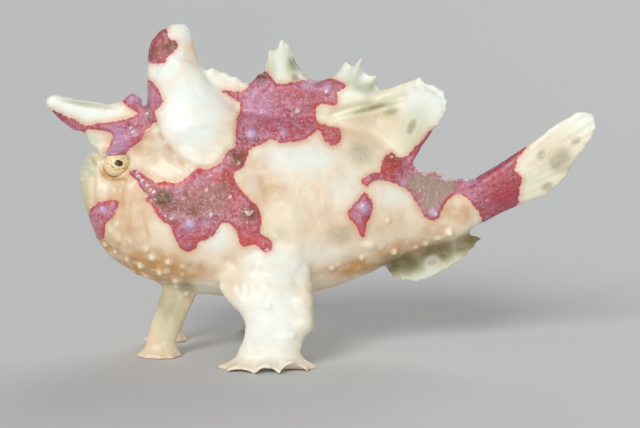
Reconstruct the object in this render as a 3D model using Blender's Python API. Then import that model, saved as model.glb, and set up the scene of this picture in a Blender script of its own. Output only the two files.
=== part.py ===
"""Warty frogfish standing on its paired fins, life size.

The mouth points to -X, the fish's left side to -Y, and the soles lie at z = 0.
Tables and sizes are in millimetres, and every mesh is scaled to metres when it is made.
"""

import math

import bmesh
import bpy
from mathutils import Vector

MM = 0.001
GAP = 0.3  # clearance between pieces that meet
SOLE_LEVEL = 1.9  # height of the soles in the frame that the tables use
FAR = 70.0  # reach of the dividing prisms, past every part of the fish

# Body sections from the snout to the tail root: x, top, bottom, half width.
BODY = [
    (-45.5, 36.4, 34.9, 1.0),
    (-45.0, 37.8, 31.9, 2.9),
    (-44.2, 38.7, 29.6, 4.7),
    (-43.2, 39.7, 26.5, 6.3),
    (-41.7, 40.4, 22.6, 7.8),
    (-39.5, 41.0, 19.9, 9.1),
    (-36.4, 42.1, 17.8, 10.3),
    (-32.3, 43.7, 15.7, 11.3),
    (-27.5, 45.2, 13.9, 12.1),
    (-21.8, 46.7, 12.8, 12.6),
    (-15.2, 47.4, 12.2, 12.5),
    (-8.5, 47.0, 12.2, 12.0),
    (-1.9, 46.3, 13.0, 11.1),
    (3.8, 45.2, 14.5, 9.9),
    (9.4, 43.3, 16.8, 8.3),
    (14.2, 39.6, 19.2, 6.7),
    (19.0, 36.4, 21.1, 5.2),
    (22.8, 35.0, 21.9, 4.1),
    (26.4, 34.4, 22.9, 3.3),
    (28.2, 34.8, 23.6, 2.9),
]
BODY_SECTIONS = 30
BODY_POINTS = 28
WIDEST = 0.42  # height of the widest level, as a share of a section's height
FULLNESS = 0.85  # under 1 is fuller than an ellipse

# Borders between the pieces of the body, as points (x, z) seen from the side.
GAPE = [
    (-42.8, 44.0),
    (-43.3, 38.4),
    (-43.5, 33.6),
    (-43.3, 28.4),
    (-42.4, 25.3),
    (-39.7, 23.0),
    (-35.3, 20.7),
    (-32.5, 18.8),
    (-31.0, 10.0),
]
NAPE = [(-27.9, 5.0), (-13.2, 60.0)]
STALK_ROOT = 15.6
JAW_SPAN = (10.0, 44.0)  # heights that the jaw's dividing prism runs between

EYE_PLACE = (-37.6, 5.95, 38.2)
EYE_RADIUS = 2.45
EYE_MESH = (16, 10)  # segments and rings

# Forward-leaning second spine: x, top, bottom, half width.
SECOND_SPINE = [
    (-32.8, 48.2, 40.2, 2.6),
    (-35.8, 50.1, 40.2, 2.6),
    (-37.7, 49.5, 40.4, 2.5),
    (-39.6, 48.9, 40.6, 2.3),
    (-41.5, 49.3, 40.4, 2.1),
    (-43.3, 49.5, 41.3, 1.9),
    (-44.5, 49.7, 43.7, 1.8),
    (-46.1, 49.9, 43.9, 1.7),
    (-48.5, 50.4, 45.5, 1.6),
    (-50.0, 50.8, 47.0, 1.5),
    (-51.1, 50.3, 48.0, 1.2),
    (-51.55, 49.6, 48.7, 0.6),
]

# Third spine, a thick column: z, front x, rear x, half width.
THIRD_SPINE = [
    (63.9, -27.7, -25.4, 0.8),
    (63.3, -28.8, -24.7, 1.3),
    (62.2, -30.3, -24.1, 1.8),
    (60.5, -31.6, -23.6, 2.2),
    (58.1, -32.2, -22.9, 2.4),
    (55.3, -32.5, -21.9, 2.6),
    (52.5, -32.4, -20.5, 3.0),
    (50.1, -32.3, -18.4, 3.5),
    (48.2, -32.2, -16.2, 4.2),
    (45.9, -32.4, -15.1, 5.2),
    (43.1, -32.4, -15.1, 6.6),
]

# Membrane behind the third spine: x, top, bottom, half width.
NAPE_FLAP = [
    (-24.0, 55.0, 49.5, 1.0),
    (-22.0, 55.0, 49.5, 1.0),
    (-20.1, 55.9, 49.0, 1.0),
    (-17.8, 54.5, 47.5, 1.0),
    (-15.8, 54.0, 46.8, 0.9),
    (-14.3, 53.0, 50.2, 0.5),
]

# Soft dorsal rays and the notches of web between them, front to rear:
# tip x, z, y, then the height and y of the bend half-way up, and x of the root.
DORSAL_RAYS = [
    (-13.2, 52.0, 0.0, 49.6, 0.0, -13.4),
    (-11.6, 54.0, 0.6, 50.0, -0.5, -12.2),
    (-10.3, 55.2, 2.2, 50.6, -1.0, -11.0),
    (-10.5, 56.0, 3.6, 50.7, -1.0, -9.9),
    (-9.5, 57.01, 4.2, 51.3, -1.0, -9.1),
    (-9.7, 58.91, 4.9, 51.7, -1.0, -8.3),
    (-8.5, 58.56, 5.3, 51.7, -1.0, -7.6),
    (-7.3, 60.66, 6.0, 51.9, -1.0, -6.9),
    (-6.3, 59.86, 6.0, 51.9, -1.0, -6.2),
    (-5.6, 58.27, 5.9, 51.9, -1.0, -5.4),
    (-4.6, 56.02, 5.6, 51.9, -1.0, -4.5),
    (-3.0, 53.87, 5.2, 51.7, -1.0, -3.3),
    (-0.6, 52.47, 4.5, 51.5, -1.0, -1.7),
    (2.4, 53.21, 4.2, 51.9, -1.0, -0.2),
    (3.7, 54.68, 4.4, 52.1, -1.0, 0.8),
    (4.9, 56.56, 4.6, 52.3, -1.0, 1.7),
    (6.2, 55.57, 4.5, 52.1, -1.0, 2.6),
    (7.8, 57.26, 4.6, 51.9, -1.0, 3.5),
    (8.5, 54.11, 4.2, 51.3, -1.0, 4.4),
    (10.7, 53.85, 3.9, 50.5, -1.0, 5.3),
    (10.4, 51.94, 2.6, 49.5, -1.0, 6.2),
    (11.7, 51.3, 1.0, 48.6, -0.7, 7.2),
    (15.3, 52.7, -1.2, 47.4, -0.5, 8.2),
    (18.5, 54.1, -3.4, 46.4, -0.8, 9.2),
    (19.4, 53.1, -4.0, 45.8, -1.0, 10.0),
    (21.2, 52.6, -4.7, 45.0, -1.3, 10.8),
    (22.8, 51.5, -5.1, 44.0, -1.5, 11.6),
    (23.4, 49.6, -5.0, 43.0, -1.5, 12.5),
    (23.0, 47.6, -4.2, 42.0, -1.3, 13.4),
    (21.9, 45.7, -3.4, 41.0, -1.0, 14.4),
    (20.2, 43.5, -2.3, 39.8, -0.8, 15.6),
    (18.6, 41.5, -1.6, 38.5, -0.5, 16.8),
]
DORSAL_GRID = (31, 6)  # columns along the fin and rows from root to tip
DORSAL_SINK = 2.0  # how far the roots reach into the back
DORSAL_THICK = (4.2, 0.7)  # at the root and at the tips

# Anal rays, front to rear: tip x and z.
ANAL_RAYS = [
    (13.2, 17.0),
    (15.6, 15.7),
    (18.6, 15.2),
    (21.4, 16.1),
    (24.1, 17.6),
    (26.6, 19.2),
    (28.7, 21.4),
    (30.2, 23.6),
]
ANAL_ROOT = (12.5, 26.6)
ANAL_GRID = (21, 4)
ANAL_SINK = 1.5
ANAL_THICK = (3.2, 0.7)
FIN_TAPER = 1.6  # power by which a fin thins towards its tips

# Tail rays, top to bottom: tip x and z.
TAIL_RAYS = [
    (44.6, 45.0),
    (48.5, 47.4),
    (51.2, 47.1),
    (52.0, 45.5),
    (51.8, 43.6),
    (50.7, 41.5),
    (48.9, 39.2),
    (47.3, 36.6),
    (45.7, 34.2),
    (43.0, 31.7),
]
TAIL_ROOT = (28.5, 34.3, 25.0)  # x, and the heights of the top and bottom rays
TAIL_GRID = (18, 6)
TAIL_THICK = (5.0, 0.9)
TAIL_EDGE = 0.8  # thickness of the root along its top and bottom edges
TAIL_TAPER = 1.3
TAIL_PLEAT = 0.45
TAIL_BOW = (0.5, -0.6)  # how far the top and bottom rays bow down on their way to the tips

# Left pectoral arm, shoulder to ankle: z, front x, rear x, centre y, half thickness.
ARM = [
    (25.8, -13.5, -4.0, -7.6, 3.4),
    (22.6, -14.8, -2.8, -8.8, 3.7),
    (19.1, -16.9, -1.7, -10.2, 4.0),
    (16.4, -18.9, -1.3, -11.6, 3.9),
    (14.1, -17.5, -0.7, -12.8, 3.6),
    (12.0, -14.9, -0.7, -13.8, 3.3),
    (9.8, -13.6, -1.5, -14.8, 3.0),
    (7.5, -14.0, -2.7, -15.5, 2.7),
    (5.4, -15.0, -3.5, -16.0, 2.4),
]

# Left pelvic fin, the same columns.
PELVIC = [
    (17.5, -29.0, -22.6, -3.4, 2.2),
    (13.5, -30.0, -23.2, -4.4, 2.0),
    (10.5, -31.0, -24.6, -5.2, 1.7),
    (7.5, -32.0, -26.0, -5.9, 1.5),
    (5.0, -32.7, -27.0, -6.4, 1.3),
]

# Spread digits: reach forward, back, outward and inward from the ankle, and their number.
HAND = {"front": 9.6, "back": 8.9, "out": 5.2, "in": 2.6, "digits": 9}
PAW = {"front": 4.9, "back": 4.0, "out": 3.2, "in": 1.5, "digits": 5}
RIGHT_HAND = {"front": 7.0, "back": 6.6, "out": 5.2, "in": 2.6, "digits": 9}
# Height above the sole as a share of the foot's height, and how far the web has spread.
WEB = [(1.0, 0.0), (0.8, 0.05), (0.58, 0.2), (0.36, 0.52), (0.2, 0.92), (0.0, 1.0)]
HAND_HEIGHT = 3.2
ARM_POINTS = 24
WEB_NOTCH = 0.13  # depth of the notches between digits, as a share of the reach
DIGIT_POINTS = 4  # points round the edge for each digit
HEEL_POINTS = 8  # points on the inner half of a foot's ring

# Lure: the stalk's centre line, folded back on the right side of the head.
LURE_PATH = [
    (-41.0, 3.2, 41.1),
    (-38.5, 3.7, 42.6),
    (-35.0, 4.4, 44.3),
    (-31.5, 5.4, 46.3),
    (-28.0, 6.1, 48.4),
    (-24.4, 6.1, 50.6),
]
LURE_RADIUS = 0.4
LURE_STEPS = 10
BAIT = {"place": (-23.6, 6.1, 51.1), "half": (1.5, 0.8, 1.1)}
BAIT_MESH = (12, 6)
JOIN = 1e-6  # metres within which the lure's points are merged

SPINE_POINTS = 20  # points round a spine's section
SPINE_PINCH = 0.2  # how much narrower an upright section is at its foot
FLAP_POINTS = 12
SHARP_ANGLE = 45  # degrees past which an edge stays sharp

COLOURS = {
    "skin": ((0.93, 0.87, 0.74), 0.45),
    "fin": ((0.88, 0.88, 0.70), 0.42),
    "eye": ((0.80, 0.66, 0.35), 0.08),
}


def clear_scene():
    for obj in list(bpy.data.objects):
        bpy.data.objects.remove(obj, do_unlink=True)


def new_collection(name):
    made = bpy.data.collections.new(name)
    bpy.context.scene.collection.children.link(made)
    return made


def skin_material(name, kind):
    colour, roughness = COLOURS[kind]
    made = bpy.data.materials.new(name)
    made.use_nodes = True
    shader = made.node_tree.nodes["Principled BSDF"]
    shader.inputs["Base Color"].default_value = (*colour, 1.0)
    shader.inputs["Roughness"].default_value = roughness
    shader.inputs["Metallic"].default_value = 0.0
    return made


def smooth_row(rows, share):
    """Row of the smooth curve through evenly spaced rows, at a share from 0 to 1."""
    place = share * (len(rows) - 1)
    first = min(int(place), len(rows) - 2)
    t = place - first
    last = len(rows) - 1
    a, b, c, d = (rows[min(max(first + k, 0), last)] for k in (-1, 0, 1, 2))
    return tuple(
        0.5 * (2 * q + (r - p) * t + (2 * p - 5 * q + 4 * r - s) * t**2 + (3 * q - p - 3 * r + s) * t**3)
        for p, q, r, s in zip(a, b, c, d)
    )


def straight_row(rows, x):
    """Row at x, straight between the two table rows either side of it."""
    for low, high in zip(rows, rows[1:]):
        if x <= high[0]:
            break
    share = min(max((x - low[0]) / (high[0] - low[0]), 0.0), 1.0)
    return tuple(a + (b - a) * share for a, b in zip(low, high))


def loft(name, rings):
    """Mesh through rings of equal count, closed by a face at each end."""
    mesh = bpy.data.meshes.new(name)
    bm = bmesh.new()
    loops = [[bm.verts.new(Vector(p) * MM) for p in ring] for ring in rings]
    for low, high in zip(loops, loops[1:]):
        for i in range(len(low)):
            j = (i + 1) % len(low)
            bm.faces.new((low[i], low[j], high[j], high[i]))
    bm.faces.new(loops[0])
    bm.faces.new(loops[-1])
    bmesh.ops.recalc_face_normals(bm, faces=bm.faces)
    bm.to_mesh(mesh)
    bm.free()
    mesh.shade_smooth()
    mesh.set_sharp_from_angle(angle=math.radians(SHARP_ANGLE))
    return mesh


def place(mesh, name, collection, kind=None):
    """Object for the mesh, under the origin empty; one without a kind is a cutter."""
    obj = bpy.data.objects.new(name, mesh)
    collection.objects.link(obj)
    obj.parent = origin
    if kind:
        mesh.materials.append(skin_material(name, kind))
    else:
        obj.hide_render = True
        obj.display_type = "WIRE"
    return obj


def boolean(obj, other, operation="DIFFERENCE"):
    modifier = obj.modifiers.new(operation.title() + "_" + other.name, "BOOLEAN")
    modifier.operation = operation
    modifier.solver = "EXACT"
    modifier.object = other


def mirrored(rings):
    """The same rings on the fish's right side."""
    return [[(x, -y, z) for x, y, z in ring] for ring in rings]


def body_section(row, pad=0.0):
    x, top, bottom, half = row
    top, bottom, half = top + pad, bottom - pad, half + pad
    wide = bottom + WIDEST * (top - bottom)
    ring = []
    for i in range(BODY_POINTS):
        angle = 2 * math.pi * i / BODY_POINTS
        reach = top - wide if math.sin(angle) > 0 else wide - bottom
        across = math.copysign(abs(math.cos(angle)) ** FULLNESS, math.cos(angle))
        ring.append((x, half * across, wide + reach * math.sin(angle)))
    return ring


def body_mesh(name, pad=0.0):
    rows = [smooth_row(BODY, i / BODY_SECTIONS) for i in range(BODY_SECTIONS + 1)]
    if pad:
        rows[0] = (rows[0][0] - pad, *rows[0][1:])
        rows[-1] = (rows[-1][0] + pad, *rows[-1][1:])
    return loft(name, [body_section(row, pad) for row in rows])


def side_prism(name, outline):
    """Prism across the whole fish, from an outline (x, z) seen from the side."""
    return loft(name, [[(x, y, z) for x, z in outline] for y in (-FAR, FAR)])


def upright_section(row, points=SPINE_POINTS):
    """Ring in a plane across X, narrower below than above: x, top, bottom, half width."""
    x, top, bottom, half = row
    middle, reach = (top + bottom) / 2, (top - bottom) / 2
    ring = []
    for i in range(points):
        angle = 2 * math.pi * i / points
        width = half * math.cos(angle) * (1 - SPINE_PINCH * (1 - math.sin(angle)))
        ring.append((x, width, middle + reach * math.sin(angle)))
    return ring


def level_section(row, points=SPINE_POINTS):
    """Elliptical ring in a level plane: z, front x, rear x, half width."""
    z, front, rear, half = row
    middle, reach = (front + rear) / 2, (rear - front) / 2
    ring = []
    for i in range(points):
        angle = 2 * math.pi * i / points
        ring.append((middle + reach * math.cos(angle), half * math.sin(angle), z))
    return ring


def limb_angles(digits):
    """Directions round a limb's ring: from the rear over the inner side, then back round the outer side."""
    outer = DIGIT_POINTS * (digits - 1)
    turns = [math.pi * i / HEEL_POINTS for i in range(HEEL_POINTS)]
    return turns + [math.pi + math.pi * i / outer for i in range(outer)]


def limb_section(row, angles):
    z, front, rear, across, half = row
    middle, reach = (front + rear) / 2, (rear - front) / 2
    return [(middle + reach * math.cos(a), across + half * math.sin(a), z) for a in angles]


def digit_reach(angle, spread):
    """Distance from the ankle to the edge of the spread digits."""
    along = spread["front"] if math.cos(angle) < 0 else spread["back"]
    across = spread["out"] if math.sin(angle) < 0 else spread["in"]
    reach = along * across / math.hypot(across * math.cos(angle), along * math.sin(angle))
    if angle >= math.pi:
        wave = math.cos((angle - math.pi) * 2 * (spread["digits"] - 1))
        reach *= 1 - WEB_NOTCH / 2 + WEB_NOTCH / 2 * wave
    return reach


def foot_rings(ankle, spread, height):
    """Rings from the ankle down to the flat sole: ankle is z, front x, rear x, centre y, half thickness."""
    _, front, rear, across, half = ankle
    middle, reach = (front + rear) / 2, (rear - front) / 2
    rings = []
    for level, share in WEB:
        ring = []
        for angle in limb_angles(spread["digits"]):
            narrow = reach * half / math.hypot(half * math.cos(angle), reach * math.sin(angle))
            distance = narrow + (digit_reach(angle, spread) - narrow) * share
            x = middle + distance * math.cos(angle)
            y = across + distance * math.sin(angle)
            ring.append((x, y, SOLE_LEVEL + height * level))
        rings.append(ring)
    return rings


def sheet_rings(middle, thickness, size):
    """Rings of a closed sheet: middle(u, v) is its middle surface, with v = 0 at the root."""
    columns, rows = size
    grid = [[Vector(middle(i / columns, j / rows)) for j in range(rows + 1)] for i in range(columns + 1)]
    rings = []
    for i in range(columns + 1):
        near, far = [], []
        for j in range(rows + 1):
            along = grid[min(i + 1, columns)][j] - grid[max(i - 1, 0)][j]
            outward = grid[i][min(j + 1, rows)] - grid[i][max(j - 1, 0)]
            side = along.cross(outward).normalized() * thickness(i / columns, j / rows) / 2
            near.append(grid[i][j] + side)
            far.append(grid[i][j] - side)
        rings.append(near + far[::-1])
    return rings


def fin_thickness(thick):
    root, tip = thick
    return lambda u, v: tip + (root - tip) * (1 - v) ** FIN_TAPER


def dorsal_middle(u, v):
    tip_x, tip_z, tip_y, bend_z, bend_y, root_x = smooth_row(DORSAL_RAYS, u)
    root = (root_x, 0.0, straight_row(BODY, root_x)[1] - DORSAL_SINK)
    bend = ((root_x + tip_x) / 2, bend_y, bend_z)
    return smooth_row([root, bend, (tip_x, tip_y, tip_z)], v)


def anal_middle(u, v):
    tip_x, tip_z = smooth_row(ANAL_RAYS, u)
    root_x = ANAL_ROOT[0] + (ANAL_ROOT[1] - ANAL_ROOT[0]) * u
    root = Vector((root_x, 0.0, straight_row(BODY, root_x)[2] + ANAL_SINK))
    return root.lerp(Vector((tip_x, 0.0, tip_z)), v)


def tail_middle(u, v):
    tip_x, tip_z = smooth_row(TAIL_RAYS, u)
    root_x, top, bottom = TAIL_ROOT
    line = Vector((root_x, 0.0, top + (bottom - top) * u)).lerp(Vector((tip_x, 0.0, tip_z)), v)
    line.z -= (TAIL_BOW[0] + (TAIL_BOW[1] - TAIL_BOW[0]) * u) * math.sin(math.pi * v)
    line.y = TAIL_PLEAT * v * math.sin(math.pi * u) * math.cos(2 * math.pi * u * (len(TAIL_RAYS) - 1))
    return line


def tail_thickness(u, v):
    root = TAIL_THICK[0] * math.sqrt(max(1 - (2 * u - 1) ** 2, 0.0)) + TAIL_EDGE
    return TAIL_THICK[1] + (root - TAIL_THICK[1]) * (1 - v) ** TAIL_TAPER


def build_body():
    jaw_end = [(-FAR, z) for z in JAW_SPAN]
    borders = {
        "jaw_border": GAPE + jaw_end,
        "jaw_clearance": [(x + GAP, z + GAP) for x, z in GAPE] + jaw_end,
        "head_border": [(-FAR, NAPE[0][1]), NAPE[0], NAPE[1], (-FAR, NAPE[1][1])],
        "trunk_border": [
            (NAPE[0][0] + GAP, NAPE[0][1]),
            (STALK_ROOT, NAPE[0][1]),
            (STALK_ROOT, NAPE[1][1]),
            (NAPE[1][0] + GAP, NAPE[1][1]),
        ],
        "stalk_border": [(STALK_ROOT + GAP, 0.0), (FAR, 0.0), (FAR, FAR), (STALK_ROOT + GAP, FAR)],
    }
    for name, outline in borders.items():
        tools[name] = place(side_prism(name, outline), name, cutters)
    tools["body_clearance"] = place(body_mesh("body_clearance", GAP), "body_clearance", cutters)
    pieces = {
        "head": "head_border",
        "lower_jaw": "jaw_border",
        "trunk": "trunk_border",
        "tail_stalk": "stalk_border",
    }
    for name, border in pieces.items():
        piece = place(body_mesh(name), name, fish, "skin")
        boolean(piece, tools[border], "INTERSECT")
        if name == "head":
            boolean(piece, tools["jaw_clearance"])
            build_eyes(piece)


def build_eyes(head):
    """Eyeballs, each in a socket cut from the head."""
    x, y, z = EYE_PLACE
    for side, across in (("left", -y), ("right", y)):
        for name, radius in (("eye_" + side, EYE_RADIUS), ("socket_" + side, EYE_RADIUS + GAP)):
            bm = bmesh.new()
            bmesh.ops.create_uvsphere(
                bm, u_segments=EYE_MESH[0], v_segments=EYE_MESH[1], radius=radius * MM
            )
            mesh = bpy.data.meshes.new(name)
            bm.to_mesh(mesh)
            bm.free()
            mesh.shade_smooth()
            is_eye = name.startswith("eye")
            ball = place(mesh, name, fish if is_eye else cutters, "eye" if is_eye else None)
            ball.location = Vector((x, across, z)) * MM
            ball.rotation_euler = (math.pi / 2, 0, 0)
        boolean(head, ball)


def build_spines():
    rings = [upright_section(row) for row in SECOND_SPINE]
    second = place(loft("second_dorsal_spine", rings), "second_dorsal_spine", fish, "skin")
    boolean(second, tools["body_clearance"])
    rings = [level_section(row) for row in THIRD_SPINE]
    third = place(loft("third_dorsal_spine", rings), "third_dorsal_spine", fish, "skin")
    rings = [upright_section(row, FLAP_POINTS) for row in NAPE_FLAP]
    flap = place(loft("nape_flap", rings), "nape_flap", cutters)
    boolean(third, flap, "UNION")
    boolean(third, tools["body_clearance"])


def build_fins():
    fins = {
        "dorsal_fin": sheet_rings(dorsal_middle, fin_thickness(DORSAL_THICK), DORSAL_GRID),
        "anal_fin": sheet_rings(anal_middle, fin_thickness(ANAL_THICK), ANAL_GRID),
        "caudal_fin": sheet_rings(tail_middle, tail_thickness, TAIL_GRID),
    }
    for name, rings in fins.items():
        fin = place(loft(name, rings), name, fish, "fin")
        if name != "caudal_fin":
            boolean(fin, tools["body_clearance"])


def build_limbs():
    hand_ankle = (SOLE_LEVEL + HAND_HEIGHT, *ARM[-1][1:])
    paw_height = PELVIC[-1][0] - SOLE_LEVEL
    arm_turns = [2 * math.pi * i / ARM_POINTS for i in range(ARM_POINTS)]
    arm = [limb_section(row, arm_turns) for row in ARM]
    pelvic = [limb_section(row, limb_angles(PAW["digits"])) for row in PELVIC[:-1]]
    pelvic += foot_rings(PELVIC[-1], PAW, paw_height)
    sides = {
        "left": (arm, foot_rings(hand_ankle, HAND, HAND_HEIGHT), pelvic),
        "right": (
            mirrored(arm),
            mirrored(foot_rings(hand_ankle, RIGHT_HAND, HAND_HEIGHT)),
            mirrored(pelvic),
        ),
    }
    for side, limbs in sides.items():
        for name, rings in zip(("pectoral_arm_", "pectoral_foot_", "pelvic_fin_"), limbs):
            limb = place(loft(name + side, rings), name + side, fish, "fin")
            if name != "pectoral_foot_":
                boolean(limb, tools["body_clearance"])


def build_lure():
    """Thin stalk with its bait, joined to it."""
    curve = bpy.data.curves.new("lure_line", "CURVE")
    curve.dimensions = "3D"
    curve.bevel_depth = LURE_RADIUS * MM
    curve.bevel_resolution = 1
    curve.use_fill_caps = True
    line = curve.splines.new("POLY")
    line.points.add(LURE_STEPS)
    for i, point in enumerate(line.points):
        point.co = (*(Vector(smooth_row(LURE_PATH, i / LURE_STEPS)) * MM), 1.0)
    guide = bpy.data.objects.new("lure_line", curve)
    cutters.objects.link(guide)
    bpy.context.view_layer.update()
    graph = bpy.context.evaluated_depsgraph_get()
    mesh = bpy.data.meshes.new_from_object(guide.evaluated_get(graph))
    bpy.data.objects.remove(guide, do_unlink=True)
    bm = bmesh.new()
    bm.from_mesh(mesh)
    bmesh.ops.remove_doubles(bm, verts=bm.verts, dist=JOIN)
    bm.to_mesh(mesh)
    bm.free()
    stalk = place(mesh, "illicium", fish, "fin")
    bm = bmesh.new()
    bmesh.ops.create_uvsphere(bm, u_segments=BAIT_MESH[0], v_segments=BAIT_MESH[1], radius=MM)
    bmesh.ops.scale(bm, vec=BAIT["half"], verts=bm.verts)
    mesh = bpy.data.meshes.new("bait")
    bm.to_mesh(mesh)
    bm.free()
    bait = place(mesh, "bait", cutters)
    bait.location = Vector(BAIT["place"]) * MM
    boolean(stalk, bait, "UNION")


def centre_on_floor():
    """Moves the origin empty so that the fish's box is centred over the origin and stands at z = 0."""
    bpy.context.view_layer.update()
    graph = bpy.context.evaluated_depsgraph_get()
    corners = []
    for obj in fish.objects:
        evaluated = obj.evaluated_get(graph)
        corners += [evaluated.matrix_world @ vertex.co for vertex in evaluated.data.vertices]
    low = Vector(min(c[i] for c in corners) for i in range(3))
    high = Vector(max(c[i] for c in corners) for i in range(3))
    origin.location = (-(low.x + high.x) / 2, -(low.y + high.y) / 2, -low.z)


clear_scene()
fish = new_collection("frogfish")
cutters = new_collection("cutters")
tools = {}
origin = bpy.data.objects.new("fish_origin", None)
bpy.context.scene.collection.objects.link(origin)
build_body()
build_spines()
build_fins()
build_limbs()
build_lure()
centre_on_floor()
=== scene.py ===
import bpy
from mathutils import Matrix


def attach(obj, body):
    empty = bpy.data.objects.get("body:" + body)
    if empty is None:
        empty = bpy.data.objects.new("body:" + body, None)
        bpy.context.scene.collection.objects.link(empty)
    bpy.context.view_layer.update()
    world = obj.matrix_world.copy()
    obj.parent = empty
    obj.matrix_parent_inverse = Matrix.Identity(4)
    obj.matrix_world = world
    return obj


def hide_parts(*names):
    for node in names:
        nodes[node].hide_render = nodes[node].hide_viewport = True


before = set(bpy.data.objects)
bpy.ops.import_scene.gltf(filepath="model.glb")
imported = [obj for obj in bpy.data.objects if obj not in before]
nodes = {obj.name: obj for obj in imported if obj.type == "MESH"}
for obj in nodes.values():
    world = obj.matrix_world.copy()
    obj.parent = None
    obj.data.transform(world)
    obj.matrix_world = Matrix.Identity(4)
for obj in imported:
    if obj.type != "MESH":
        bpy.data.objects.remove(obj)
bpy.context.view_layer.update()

import math

import bpy
import numpy as np
from mathutils import Vector, kdtree, noise
from mathutils.bvhtree import BVHTree

mm = 0.001
shift = (-0.235, 0.0, -1.9)  # mm, from the fish's own drawing to the row frame
eyeNodes = ["eye_left", "eye_right"]
fleshNodes = [n for n in nodes if n not in eyeNodes + ["illicium"]]
finNodes = ["dorsal_fin", "anal_fin", "caudal_fin"]
spineNodes = ["second_dorsal_spine", "third_dorsal_spine"]
footNodes = ["pectoral_foot_left", "pectoral_foot_right", "pelvic_fin_left", "pelvic_fin_right"]

view = {
    "tilt": 8.0,  # degrees above level
    "distance": 0.3,
    "aim": (-0.000235, 0.0, 0.02613),
    "lens": 88.82,
    "sensor": 36.0,
    "picture": (640, 428),
    "pixel": 0.19,  # mm of fish a pixel, in the plane of the body
}


def deselectAll():
    if bpy.context.object and bpy.context.object.mode != "OBJECT":
        bpy.ops.object.mode_set(mode="OBJECT")
    bpy.ops.object.select_all(action="DESELECT")


def pick(piece):
    deselectAll()
    piece.select_set(True)
    bpy.context.view_layer.objects.active = piece


def cameraPlace():
    tilt = math.radians(view["tilt"])
    back = Vector((0.0, -math.cos(tilt), math.sin(tilt)))
    return Vector(view["aim"]) + back * view["distance"]


def addCamera():
    deselectAll()
    bpy.ops.object.camera_add(
        location=cameraPlace(), rotation=(math.radians(90 - view["tilt"]), 0.0, 0.0)
    )
    made = bpy.context.object
    made.data.lens = view["lens"]
    made.data.sensor_width = view["sensor"]
    made.data.clip_start = 0.001
    bpy.context.scene.camera = made


addCamera()
print("stage: camera")


def pictureScale():
    return view["lens"] / view["sensor"] * view["picture"][0]


def inPicture(points, across):
    # where points in metres fall in the picture when their y is taken as across
    tilt = math.radians(view["tilt"])
    moved = np.column_stack((points[:, 0], across, points[:, 2])) - np.array(cameraPlace())
    ahead = moved[:, 1] * math.cos(tilt) - moved[:, 2] * math.sin(tilt)
    up = moved[:, 1] * math.sin(tilt) + moved[:, 2] * math.cos(tilt)
    wide, high = view["picture"]
    scale = pictureScale()
    return wide / 2 + moved[:, 0] / ahead * scale, high / 2 - up / ahead * scale


def pictureRay(px, py):
    tilt = math.radians(view["tilt"])
    wide, high = view["picture"]
    right = (px - wide / 2) / pictureScale()
    up = (high / 2 - py) / pictureScale()
    return Vector(
        (right, math.cos(tilt) + up * math.sin(tilt), up * math.cos(tilt) - math.sin(tilt))
    ).normalized()


def atDepth(px, py, depth):
    # point seen at a pixel, depth mm beyond the middle plane
    place, ray = cameraPlace(), pictureRay(px, py)
    return place + ray * ((depth * mm - place.y) / ray.y)


def drawn(point):
    # a point of the fish's own drawing, in mm, as metres in the row frame
    return Vector([(a + b) * mm for a, b in zip(point, shift)])


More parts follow.
